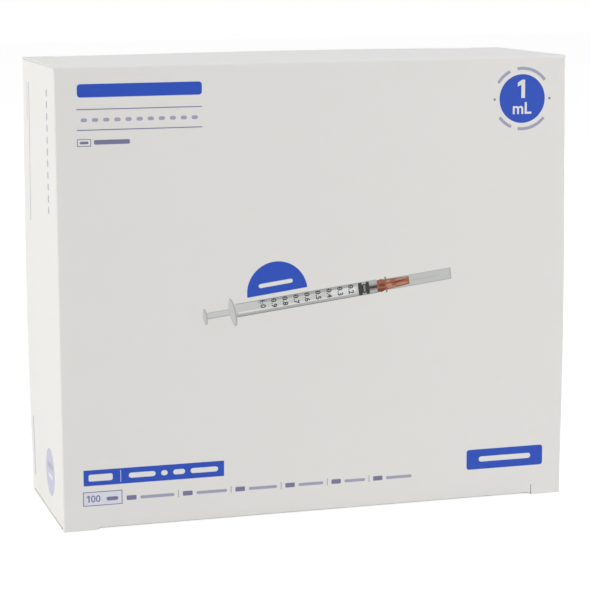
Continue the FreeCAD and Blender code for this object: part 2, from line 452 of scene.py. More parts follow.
class Nodes:
    """Short ways to place and join the nodes of one tree."""

    def __init__(self, tree: bpy.types.NodeTree) -> None:
        """Take hold of a tree.

        Args:
            tree: The node tree to work in.
        """
        self.tree = tree

    def add(self, kind: str, **settings: object) -> bpy.types.Node:
        """Return a new node.

        Args:
            kind: Blender's name for the node.
            settings: Its settings, by name.

        Returns:
            The node.
        """
        node = self.tree.nodes.new(kind)
        for name, value in settings.items():
            setattr(node, name, value)
        return node

    def join(self, output: bpy.types.NodeSocket, target: bpy.types.NodeSocket) -> None:
        """Join an output to an input."""
        self.tree.links.new(output, target)

    def math(self, operation: str, *values: "float | bpy.types.NodeSocket") -> bpy.types.NodeSocket:
        """Return the result of a math node.

        Args:
            operation: Its operation.
            values: Numbers or sockets for its inputs, in order.

        Returns:
            Its output.
        """
        node = self.add("ShaderNodeMath", operation=operation)
        for index, value in enumerate(values):
            if isinstance(value, bpy.types.NodeSocket):
                self.join(value, node.inputs[index])
            else:
                node.inputs[index].default_value = value
        return node.outputs[0]

    def noise(self, place: bpy.types.NodeSocket, scale: float, detail: float) -> bpy.types.NodeSocket:
        """Return a noise value over the surface.

        Args:
            place: Where the noise is read.
            scale: Its scale.
            detail: Its detail.

        Returns:
            The value.
        """
        node = self.add("ShaderNodeTexNoise")
        node.inputs["Scale"].default_value = scale
        node.inputs["Detail"].default_value = detail
        self.join(place, node.inputs["Vector"])
        return node.outputs["Fac"]

    def blend(self, factor: bpy.types.NodeSocket, low: Triple, high: Triple) -> bpy.types.NodeSocket:
        """Return a colour between two, by a factor that changes over the surface.

        Args:
            factor: 0 for the low colour, 1 for the high one.
            low: The first colour.
            high: The second colour.

        Returns:
            The blended colour.
        """
        node = self.add("ShaderNodeMix", data_type="RGBA")
        self.join(factor, node.inputs["Factor"])
        for name, value in (("A", low), ("B", high)):
            socket = next(s for s in node.inputs if s.name == name and s.type == "RGBA")
            socket.default_value = (*value, 1.0)
        return next(s for s in node.outputs if s.type == "RGBA")

    def group(self, tree: bpy.types.NodeTree, **values: float) -> bpy.types.Node:
        """Return a placed group node.

        Args:
            tree: The group.
            values: Values of its inputs, by name.

        Returns:
            The node.
        """
        node = self.add("ShaderNodeGroup", node_tree=tree)
        for label, value in values.items():
            node.inputs[label].default_value = value
        return node


class NoiseGroup:
    """A shader group of two noises over the object's own space, scaled by the group's first input."""

    def __init__(
        self, name: str, inputs: dict[str, float], outputs: Sequence[str], noises: Sequence[Point]
    ) -> None:
        """Make the group with its sockets and its noises.

        Args:
            name: Name of the group.
            inputs: Names of its number inputs, with their defaults.
            outputs: Names of its number outputs.
            noises: Scale and detail of each noise.
        """
        tree = bpy.data.node_groups.new(name, "ShaderNodeTree")
        for label, value in inputs.items():
            socket = tree.interface.new_socket(name=label, in_out="INPUT", socket_type="NodeSocketFloat")
            socket.default_value = value
        for label in outputs:
            tree.interface.new_socket(name=label, in_out="OUTPUT", socket_type="NodeSocketFloat")
        self.tree = tree
        self.nodes = Nodes(tree)
        self.source = self.nodes.add("NodeGroupInput")
        self.sink = self.nodes.add("NodeGroupOutput")
        scaled = self.nodes.add("ShaderNodeVectorMath", operation="SCALE")
        self.nodes.join(self.nodes.add("ShaderNodeTexCoord").outputs["Object"], scaled.inputs[0])
        self.nodes.join(self.source.outputs[0], scaled.inputs["Scale"])
        self.values = [self.nodes.noise(scaled.outputs[0], scale, detail) for scale, detail in noises]

    def give(self, label: str, value: bpy.types.NodeSocket) -> None:
        """Send a value to one of the group's outputs."""
        self.nodes.join(value, self.sink.inputs[label])


class Effects:
    """The shader node groups that the finishes share."""

    def __init__(self) -> None:
        """Build every group once."""
        self.paper = self._paper_grain()
        self.mottle = self._mottle()

    @staticmethod
    def _paper_grain() -> bpy.types.NodeTree:
        """Return the group for paper's fine tooth: Height to bump with, and Tone around 0.5.

        Returns:
            The group.
        """
        noises = ((2600.0, 3.0), (700.0, 4.0))
        group = NoiseGroup("paper_grain", {"Fineness": 1.0, "Fibre": 0.3}, ("Height", "Tone"), noises)
        tooth, fibre = group.values
        group.give("Height", group.nodes.math("MULTIPLY_ADD", fibre, group.source.outputs["Fibre"], tooth))
        group.give("Tone", fibre)
        return group.tree

    @staticmethod
    def _mottle() -> bpy.types.NodeTree:
        """Return the group for the broad, faint unevenness of a handled surface.

        Returns:
            The group.
        """
        group = NoiseGroup("broad_mottle", {"Size": 1.0}, ("Value",), ((14.0, 2.0), (90.0, 3.0)))
        broad, small = group.values
        most = group.nodes.math("MULTIPLY", broad, 0.65)
        group.give("Value", group.nodes.math("MULTIPLY_ADD", small, 0.35, most))
        return group.tree


def new_material(name: str) -> tuple[bpy.types.Material, Nodes, bpy.types.Node]:
    """Return a new material with its nodes and its Principled BSDF.

    Args:
        name: Name of the material.

    Returns:
        The material, its nodes and the shader.
    """
    material = bpy.data.materials.new(name)
    material.use_nodes = True
    nodes = Nodes(material.node_tree)
    shader = next(n for n in material.node_tree.nodes if n.type == "BSDF_PRINCIPLED")
    return material, nodes, shader


@dataclass(frozen=True)
class Finish:
    """A surface clouded between two close tones, over a fine tooth. Its defaults suit a moulded plastic."""

    name: str
    colour: Triple
    shade: Triple
    roughness: float
    spread: float = 0.1
    cloud: float = 0.25
    tooth: float = 0.01
    fineness: float = 0.6
    specular: float = 0.5
    alpha: float = 1.0
    metallic: float = 0.0

    def material(self, effects: Effects) -> bpy.types.Material:
        """Return the material.

        Args:
            effects: The shared effects; without a cloud, the tones follow the paper's grain.

        Returns:
            The material.
        """
        material, nodes, shader = new_material(self.name)
        grain = nodes.group(effects.paper, Fineness=self.fineness)
        uneven = grain.outputs["Tone"]
        if self.cloud:
            uneven = nodes.group(effects.mottle, Size=self.cloud).outputs["Value"]
        nodes.join(nodes.blend(uneven, self.shade, self.colour), shader.inputs["Base Color"])
        roughness = nodes.math("MULTIPLY_ADD", uneven, self.spread, self.roughness - self.spread / 2)
        nodes.join(roughness, shader.inputs["Roughness"])
        bump = nodes.add("ShaderNodeBump")
        bump.inputs["Strength"].default_value = 1.0
        bump.inputs["Distance"].default_value = self.tooth * MM
        nodes.join(grain.outputs["Height"], bump.inputs["Height"])
        nodes.join(bump.outputs["Normal"], shader.inputs["Normal"])
        shader.inputs["Specular IOR Level"].default_value = self.specular
        shader.inputs["Alpha"].default_value = self.alpha
        shader.inputs["Metallic"].default_value = self.metallic
        return material


@dataclass(frozen=True)
class BoardFinish(Finish):
    """White coated board."""

    roughness: float = 0.64
    spread: float = 0.12
    cloud: float = 1.0
    tooth: float = 0.02
    fineness: float = 1.0
    specular: float = 0.3


@dataclass(frozen=True)
class RawBoardFinish(BoardFinish):
    """The board's plain inside, or its cut edge."""

    tooth: float = 0.05


class PackPart(Enum):
    """The parts of a wrapped syringe with their finishes, in the order of its mesh's slots."""

    PAPER = Finish("pack_paper", (0.92, 0.92, 0.91), (0.87, 0.87, 0.86), 0.75, tooth=0.03)
    FILM = Finish("pack_film", (0.95, 0.96, 0.96), (0.90, 0.92, 0.93), 0.16, alpha=0.24)
    CLEAR = Finish("clear_barrel", (0.90, 0.92, 0.92), (0.84, 0.87, 0.88), 0.2, alpha=0.45)
    ORANGE = Finish("orange_hub", (0.62, 0.20, 0.07), (0.52, 0.15, 0.05), 0.35)
    RUBBER = Finish("dark_stopper", (0.03, 0.03, 0.03), (0.02, 0.02, 0.021), 0.55)
    STEEL = Finish("needle_steel", (0.62, 0.63, 0.64), (0.5, 0.51, 0.52), 0.25, metallic=1.0)
    MARKS = Finish("scale_ink", (0.03, 0.03, 0.035), (0.02, 0.02, 0.022), 0.6)

    @property
    def slot(self) -> int:
        """Slot of the part's material."""
        return list(PackPart).index(self)


class Ink(Enum):
    """The inks of the print, with their colours."""

    BLUE = (0.017, 0.080, 0.53)
    GREY = (0.20, 0.20, 0.34)
    PALE_GREY = (0.40, 0.40, 0.52)
    FAINT = (0.69, 0.69, 0.73)
    LILAC = (0.55, 0.54, 0.70)
    TINT = (0.80, 0.80, 0.88)
    BLACK = (0.03, 0.03, 0.033)
    STOPPER = (0.036, 0.034, 0.03)
    SHADE = (0.27, 0.27, 0.26)
    HALF_SHADE = (0.50, 0.505, 0.485)
    CLEAR = (0.68, 0.685, 0.66)
    CAP = (0.62, 0.625, 0.585)
    BRIGHT = (0.84, 0.845, 0.82)
    ORANGE = (0.36, 0.115, 0.058)
    DEEP_ORANGE = (0.17, 0.04, 0.018)
    PALE_ORANGE = (0.52, 0.27, 0.17)

    @property
    def label(self) -> str:
        """Name of the ink's material."""
        return f"ink_{self.name.lower()}"

    def finish(self, lighter: float = 0.015) -> Finish:
        """Return the ink's finish, a little lighter where the board's grain shows through."""
        thin = tuple(c + (1 - c) * lighter for c in self.value)
        return Finish(self.label, thin, self.value, 0.42, cloud=0.0, fineness=0.8, specular=0.3)


class Finishes:
    """Every material of the object."""

    def __init__(self) -> None:
        """Build the shared effects and the materials; the board's stand in the order of Ply."""
        effects = Effects()
        board = (
            BoardFinish("board_outside", (0.89, 0.875, 0.835), (0.86, 0.845, 0.805)),
            RawBoardFinish("board_inside", (0.80, 0.785, 0.745), (0.74, 0.722, 0.68), 0.8, fineness=0.6),
            RawBoardFinish("board_edge", (0.86, 0.855, 0.835), (0.79, 0.78, 0.75), 0.85, fineness=1.6),
        )
        self.board = [finish.material(effects) for finish in board]
        self.inks = {ink: ink.finish().material(effects) for ink in Ink}
        self.pack = [part.value.material(effects) for part in PackPart]


# The folded sheet


@dataclass
class CartonSheet:
    """The four panels with their dust flaps and the glue flap, one folded sheet."""

    sizes: CartonSizes
    finishes: Finishes
    step: float = 6.0
    corner_steps: int = 5
    fold_steps: int = 5
    recess_ramp: float = 1.5
    nick_width: float = 0.3
    nick_height: float = 3.0
    dust_length: float = 48.0
    dust_bevel: float = 6.0
    dust_hinge_setback: float = 1.0
    dust_tuck_setback: float = 4.0
    dust_corner: float = 5.0
    seam_width: float = 14.0
    seam_taper: float = 8.0
    seam_taper_share: float = 0.8
    seam_clearance: float = 0.02

    def build(self) -> bpy.types.Object:
        """Return the finished piece, riding on the carton in the place of its node.

        Returns:
            The folded sheet.
        """
        sheet = Sheet()
        self._panels(sheet)
        self._dust_flaps(sheet)
        self._glue_flap(sheet)
        piece = sheet.build("folded_sheet", self.sizes.board, self.finishes.board)
        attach(piece, Body.CARTON.value)
        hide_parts("carton_body")
        return piece

    @property
    def dust_hinge_y(self) -> float:
        """Where a dust flap's fold ends beside a closure's fold."""
        return -self.sizes.half_depth + self.sizes.board + self.dust_hinge_setback

    @property
    def dust_tuck_y(self) -> float:
        """Where a dust flap's fold ends beside a closure's tuck."""
        return self.sizes.half_depth - self.dust_tuck_setback

    def _levels(self) -> list[float]:
        """Return the heights of the panels' rows, with a row at every cut.

        Returns:
            The heights, from the foot up.
        """
        sizes = self.sizes
        flap_cuts = {sizes.height - sizes.dust_top, sizes.height - sizes.dust_fold_level}
        cuts = sorted({0.0, sizes.recess, sizes.fold_radius} | flap_cuts)
        nick = sizes.recess + self.nick_height
        low = sizes.straight_end
        upper = [sizes.height - cut for cut in reversed(cuts)]
        return cuts + [nick] + steps(low, sizes.height - low, self.step) + upper

    def _front_stations(self) -> list[float]:
        """Return the shares of the flat half width at which the front's columns stand.

        Returns:
            The shares, from -1 at the left to 1 at the right.
        """
        sizes = self.sizes
        flat_x = sizes.half_width - sizes.corner_radius
        slit = sizes.slit_x
        ramp = slit - self.recess_ramp
        nick = slit + self.nick_width
        places = steps(-ramp, ramp, self.step) + [slit, nick] + steps(nick, flat_x, self.step)[1:]
        places = [-flat_x, -(flat_x + slit) / 2, -slit] + places
        return [x / flat_x for x in places]

    def _side_stations(self) -> list[float]:
        """Return where the side panels' columns stand, from front to back.

        Returns:
            Their places across the panel.
        """
        sizes = self.sizes
        edge = sizes.half_depth - sizes.corner_radius
        return [-edge] + steps(self.dust_hinge_y, self.dust_tuck_y, self.step) + [edge]

    def _outline(self, z: float) -> list[tuple[str, Point]]:
        """Return the panels' outline at height z, each point with the panel that it starts.

        Args:
            z: Height above the foot.

        Returns:
            Points from the left back corner round the left, front, right and back.
        """
        sizes = self.sizes
        swell = sizes.swell(z)
        radius = sizes.corner_radius
        half_x = sizes.half_width + sizes.side_swell * swell
        flat_x = half_x - radius
        flat_y = sizes.half_depth - radius
        near_x = sizes.left_reach(-sizes.half_depth, z) - radius
        shares = self._front_stations()
        sides = self._side_stations()
        points: list[tuple[str, Point]] = []
        points += [("left", (-sizes.left_reach(y, z), y)) for y in reversed(sides)][:-1]
        corner = arc_points((-near_x, -flat_y), radius, 180, 270, self.corner_steps)
        points += [("front_corner", p) for p in corner[:-1]]
        for share in shares[:-1]:
            place, _ = sizes.front(share * (near_x if share < 0 else flat_x), z)
            points.append(("front", (place.x, place.y)))
        corner = arc_points((flat_x, -flat_y), radius, 270, 360, self.corner_steps)
        points += [("front_corner", p) for p in corner[:-1]]
        points += [("right", (half_x, y)) for y in sides][:-1]
        corner = arc_points((flat_x, flat_y), radius, 0, 90, self.corner_steps)
        points += [("back_corner", p) for p in corner[:-1]]
        for share in shares[:-1]:
            place, _ = sizes.front(share * flat_x, z)
            points.append(("back", (-place.x, -place.y)))
        corner = arc_points((-flat_x, flat_y), radius, 90, 180, self.corner_steps)
        points += [("back_corner", p) for p in corner]
        return points

    def _panels(self, sheet: Sheet) -> None:
        """Add the four panels, cut to their edges.

        Args:
            sheet: The sheet to add to.
        """
        rows = []
        for z in self._levels():
            rows.append([(kind, Vector((x, y, z))) for kind, (x, y) in self._outline(z)])
        for low, high in zip(rows, rows[1:]):
            for column in range(len(low) - 1):
                corners = [low[column][1], low[column + 1][1], high[column + 1][1], high[column][1]]
                sheet.face(self._cut(low[column][0], corners))

    def _cut(self, kind: str, corners: list[Vector]) -> list[Vector]:
        """Return what is left of a cell of a panel once its edges are cut.

        Args:
            kind: The panel or corner.
            corners: The cell's four corners.

        Returns:
            The corners left, or none.
        """
        sizes = self.sizes
        middle = sum(corners, Vector()) / len(corners)
        if kind in ("front", "front_corner") and middle.z > sizes.hinge_level:
            return []
        if kind in ("back", "back_corner") and middle.z < sizes.height - sizes.hinge_level:
            return []
        if kind in ("left", "right"):
            folded = self.dust_hinge_y < middle.y < self.dust_tuck_y
            edge = sizes.dust_fold_level if folded else sizes.dust_top
            if abs(middle.z - sizes.height / 2) > edge - sizes.height / 2:
                return []
        past = middle.z > sizes.height - sizes.recess if kind == "back" else middle.z < sizes.recess
        if kind in ("front", "back") and past:
            return self._recess(corners, middle)
        nick_x = middle.x - sizes.slit_x if kind == "front" else -middle.x - sizes.slit_x
        nick_z = middle.z if kind == "front" else sizes.height - middle.z
        if kind in ("front", "back") and 0 < nick_x < self.nick_width:
            if nick_z < sizes.recess + self.nick_height:
                return []
        return corners

    def _recess(self, corners: list[Vector], middle: Vector) -> list[Vector]:
        """Return what is left of a cell in the free edge's recess: nothing, a ramp or the full corner.

        Args:
            corners: The cell's four corners.
            middle: The cell's middle.

        Returns:
            The corners left, or none.
        """
        ramp = self.sizes.slit_x - self.recess_ramp
        if abs(middle.x) < ramp:
            return []
        if abs(middle.x) > self.sizes.slit_x:
            nick_side = 1 if middle.y < 0 else -1
            in_nick = 0 < middle.x * nick_side - self.sizes.slit_x < self.nick_width
            return [] if in_nick else corners
        centre_z = self.sizes.height / 2
        outer_z = max(abs(p.z - centre_z) for p in corners)
        return [p for p in corners if not (abs(p.x) < ramp + 0.1 and abs(p.z - centre_z) > outer_z - 0.01)]

    def _dust_flaps(self, sheet: Sheet) -> None:
        """Add the four dust flaps with their folds, each with two rounded corners.

        Args:
            sheet: The sheet to add to.
        """
        sizes = self.sizes
        fold_x = sizes.half_width - sizes.dust_fold_radius
        tip_x = sizes.half_width - self.dust_length
        hinge_y, tuck_y = self.dust_hinge_y, self.dust_tuck_y
        inner_x = fold_x - sizes.board
        corner = self.dust_corner
        path = arc_points((fold_x, sizes.dust_fold_level), sizes.dust_fold_radius, 0, 90, self.fold_steps)
        leaf = steps(inner_x, tip_x + corner, self.step)
        leaf += [tip_x + corner * (1 - math.sin(math.radians(a))) for a in (18, 36, 54, 72, 90)]
        path += [(x, sizes.dust_top) for x in leaf]
        shares = [(y - hinge_y) / (tuck_y - hinge_y) for y in self._side_stations()[1:-1]]
        right = []
        for x, z in path:
            over = max(0.0, corner - (x - tip_x))
            rounding = corner - math.sqrt(max(0.0, corner * corner - over * over))
            low = hinge_y + self.dust_bevel * max(0.0, (inner_x - x) / (inner_x - tip_x)) + rounding
            high = tuck_y - rounding
            right.append([Vector((x, low + (high - low) * share, z)) for share in shares])
        left = [[Vector((-p.x, p.y, p.z)) for p in reversed(row)] for row in right]
        flaps = [right, left]
        flaps += [[[turned_over(p, sizes.height) for p in row] for row in flap] for flap in flaps]
        for flap in flaps:
            sheet.grid(flap)

    def _glue_flap(self, sheet: Sheet) -> None:
        """Add the glue flap, which lies against the right panel's inside at the back.

        Args:
            sheet: The sheet to add to.
        """
        sizes = self.sizes
        inset = sizes.board + self.seam_clearance
        outer_y = sizes.half_depth - sizes.corner_radius
        inner_y = sizes.half_depth - sizes.board - self.seam_width
        rows = []
        for z in steps(sizes.straight_end, sizes.height - sizes.straight_end, self.step):
            end = min(z - sizes.straight_end, sizes.height - sizes.straight_end - z)
            taper = max(0.0, 1 - end / self.seam_taper) * self.seam_width * self.seam_taper_share
            x = sizes.half_width + sizes.side_swell * sizes.swell(z) - inset
            rows.append([Vector((x, inner_y + taper, z)), Vector((x, outer_y, z))])
        sheet.grid(rows)


@dataclass
class TuckClosure:
    """A closure with its rolled fold, its panel, its tuck and its flat corners past two slits."""

    sizes: CartonSizes
    finishes: Finishes
    name: str
    node: str
    body: Body
    rise: float = 0.0
    turned: bool = False
    skew: float = 0.3
    step: float = 6.0
    fold_steps: int = 5
    inset: float = 0.05
    tuck_radius: float = 1.2
    tuck_length: float = 13.0
    tuck_end_gap: float = 2.0
    tuck_corner: float = 9.0
    tuck_gap: float = 0.12
    tuck_lean: float = 7.0

    def build(self) -> bpy.types.Object:
        """Return the finished piece, riding on its body in the place of its node.

        Returns:
            The closure.
        """
        sheet = Sheet()
        self._middle(sheet)
        for side in (1, -1):
            self._end(sheet, side)
        if self.turned:
            sheet.vertices = [turned_over(point, self.sizes.height) for point in sheet.vertices]
        piece = sheet.build(self.name, self.sizes.board, self.finishes.board)
        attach(piece, self.body.value)
        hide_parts(self.node)
        return piece

    @property
    def tuck_centre(self) -> Point:
        """Centre of the tuck's fold at a slit, in (y, z)."""
        tuck_y = self.sizes.half_depth - self.sizes.board - self.tuck_gap
        return (tuck_y - self.tuck_radius, self.sizes.height - self.tuck_radius)

    def _section(self, height: float) -> Loop:
        """Return the section's outer line, from the hinge's end to the tuck's tip.

        Args:
            height: How far the back edge stands up here.

        Returns:
            Points (y, z).
        """
        sizes = self.sizes
        hinge = (-sizes.half_depth + sizes.fold_radius, sizes.hinge_level)
        centre = (self.tuck_centre[0], self.tuck_centre[1] + height)
        line = arc_points(hinge, sizes.fold_radius, 180, 90, self.fold_steps)
        panel = steps(hinge[0], centre[0], self.step)
        for y in panel[1:-1]:
            share = (y - hinge[0]) / (centre[0] - hinge[0])
            line.append((y, sizes.height + height * share))
        line += arc_points(centre, self.tuck_radius, 90, -self.tuck_lean, self.fold_steps + 1)
        start = line[-1]
        lean = math.radians(self.tuck_lean)
        for reach in self._reaches()[1:]:
            line.append((start[0] - math.sin(lean) * reach, start[1] - math.cos(lean) * reach))
        return line

    def _reaches(self) -> list[float]:
        """Return the distances down the tuck at which its rows stand.

        Returns:
            The distances from its fold.
        """
        full = self.tuck_length - self.tuck_radius
        straight = full - self.tuck_corner
        turns = [math.sin(math.radians(a)) for a in (22.5, 45, 67.5, 90)]
        return [0.0, straight] + [straight + self.tuck_corner * turn for turn in turns]

    def _middle(self, sheet: Sheet) -> None:
        """Add the panel and its tuck between the slits.

        Args:
            sheet: The sheet to add to.
        """
        slit = self.sizes.slit_x
        columns = []
        for x in steps(-slit, slit, self.step):
            share = (x / slit + 1) / 2
            height = self.rise * 4 * share * (1 - share) * (1 + self.skew * (2 * share - 1))
            columns.append([Vector((x, y, z)) for y, z in self._section(height)])
        sheet.grid([list(row) for row in zip(*columns)])

    def _end(self, sheet: Sheet, side: int) -> None:
        """Add one end past its slit: the flat corner and the tuck's wing.

        Args:
            sheet: The sheet to add to.
            side: 1 for the right end, -1 for the left.
        """
        sizes = self.sizes
        slit = sizes.slit_x
        section = self._section(0.0)
        reaches = self._reaches()
        panel_rows = len(section) - len(reaches) - self.fold_steps
        free_edge_y = sizes.half_depth - sizes.corner_radius - sizes.edge_gap
        panel = section[:panel_rows] + [(free_edge_y, sizes.height)]
        xs = steps(slit, sizes.half_width - self.inset, self.step)[::side]
        sheet.grid([[Vector((side * x, y, z)) for x in xs] for y, z in panel])
        wing = sizes.half_width - self.tuck_end_gap
        straight = self.tuck_length - self.tuck_radius - self.tuck_corner
        shares = steps(0.0, 1.0, self.step / (wing - slit))[::side]
        rows = []
        for (y, z), reach in zip(section[-len(reaches):], reaches):
            over = max(0.0, reach - straight)
            rounding = self.tuck_corner - math.sqrt(max(0.0, self.tuck_corner**2 - over**2))
            width = wing - rounding - slit
            rows.append([Vector((side * (slit + width * share), y, z)) for share in shares])
        sheet.grid(rows)


# The wrapped syringes


@dataclass(frozen=True)
class PackSizes:
    """Sizes of a sealed pack, of the syringe in it, and of the ranks that stand in the carton."""

    ranks: int = 50
    length: float = 156.0
    width: float = 29.4
    seal: float = 9.0
    offset: float = 6.5
    bulge: float = 6.2
    bulge_flat: float = 2.4
    flange_flat: float = 10.0
    cap_bulge: float = 4.6
    drape_slope: float = 0.9
    head_length: float = 26.0
    ply: float = 0.1
    file_gap: float = 0.5
    wall_gap: float = 0.4
    flap_floor: float = 1.8
    closure_floor: float = 0.9
    dust_length: float = 48.0
    crease: float = 0.35
    crease_climb: float = 0.05
    crease_end_power: int = 8
    seal_inset: float = 0.1
    film_slack: float = 0.15
    drape_steps: Point = (4.5, 9.5)
    drape_shares: Point = (0.55, 0.95)

    @property
    def head_z(self) -> float:
        """Height of the thumb rest in a pack that stands on its needle end."""
        return self.length - self.seal - self.bulge

    @property
    def flange_z(self) -> float:
        """Height of the finger flange."""
        return self.head_z - self.head_length

    def bulge_at(self, z: float) -> tuple[float, float]:
        """Return the bulge's section at a height.

        Args:
            z: Height in the pack.

        Returns:
            How thick the bulge is there, and how wide its flat is.
        """
        stations = [
            (0.0, 0.0, self.bulge_flat),
            (self.seal, 0.0, self.bulge_flat),
            (self.seal + self.bulge, self.cap_bulge, self.bulge_flat),
            (self.flange_z - self.bulge, self.bulge, self.bulge_flat),
            (self.flange_z, self.bulge, self.flange_flat),
            (self.head_z, self.bulge, self.bulge_flat),
            (self.length - self.seal, 0.0, self.bulge_flat),
            (self.length, 0.0, self.bulge_flat),
        ]
        for (z0, thick0, flat0), (z1, thick1, flat1) in zip(stations, stations[1:]):
            if z <= z1:
                share = (z - z0) / (z1 - z0)
                return thick0 + (thick1 - thick0) * share, flat0 + (flat1 - flat0) * share
        return 0.0, self.bulge_flat


class PackMesh(PieceMesh):
    """The faces of the packs of one rank."""

    start: int = 0

    def prism(self, part: PackPart, rings: Sequence[Sequence[Vector]]) -> None:
        """Add a closed body through rings of points, closed flat at both ends.

        Args:
            part: Its material.
            rings: Rings from the foot up, each anticlockwise from above.
        """
        count = len(rings[0])
        faces = [list(reversed(range(count)))]
        for row in range(len(rings) - 1):
            low = row * count
            for index in range(count):
                after = (index + 1) % count
                faces.append([low + index, low + after, low + count + after, low + count + index])
        faces.append([(len(rings) - 1) * count + index for index in range(count)])
        self.add(part.slot, [point for ring in rings for point in ring], faces)

    def turned(self, part: PackPart, profile: Sequence[Triple], count: int = 10) -> None:
        """Add an oval body round the syringe's axis.

        Args:
            part: Its material.
            profile: Height, half thickness and half width of each ring, from the foot up.
            count: Four of a ring.
        """
        rings = []
        for z, half_x, half_y in profile:
            rings.append([Vector((half_x * u, half_y * v, z)) for u, v in circle((0, 0), 1, count)])
        self.prism(part, rings)

    def move(self, place: Matrix) -> None:
        """Move what was added since the last pack."""
        self.vertices[self.start:] = [place @ point for point in self.vertices[self.start:]]

    def close_pack(self) -> None:
        """Count what was added so far as placed."""
        self.start = len(self.vertices)


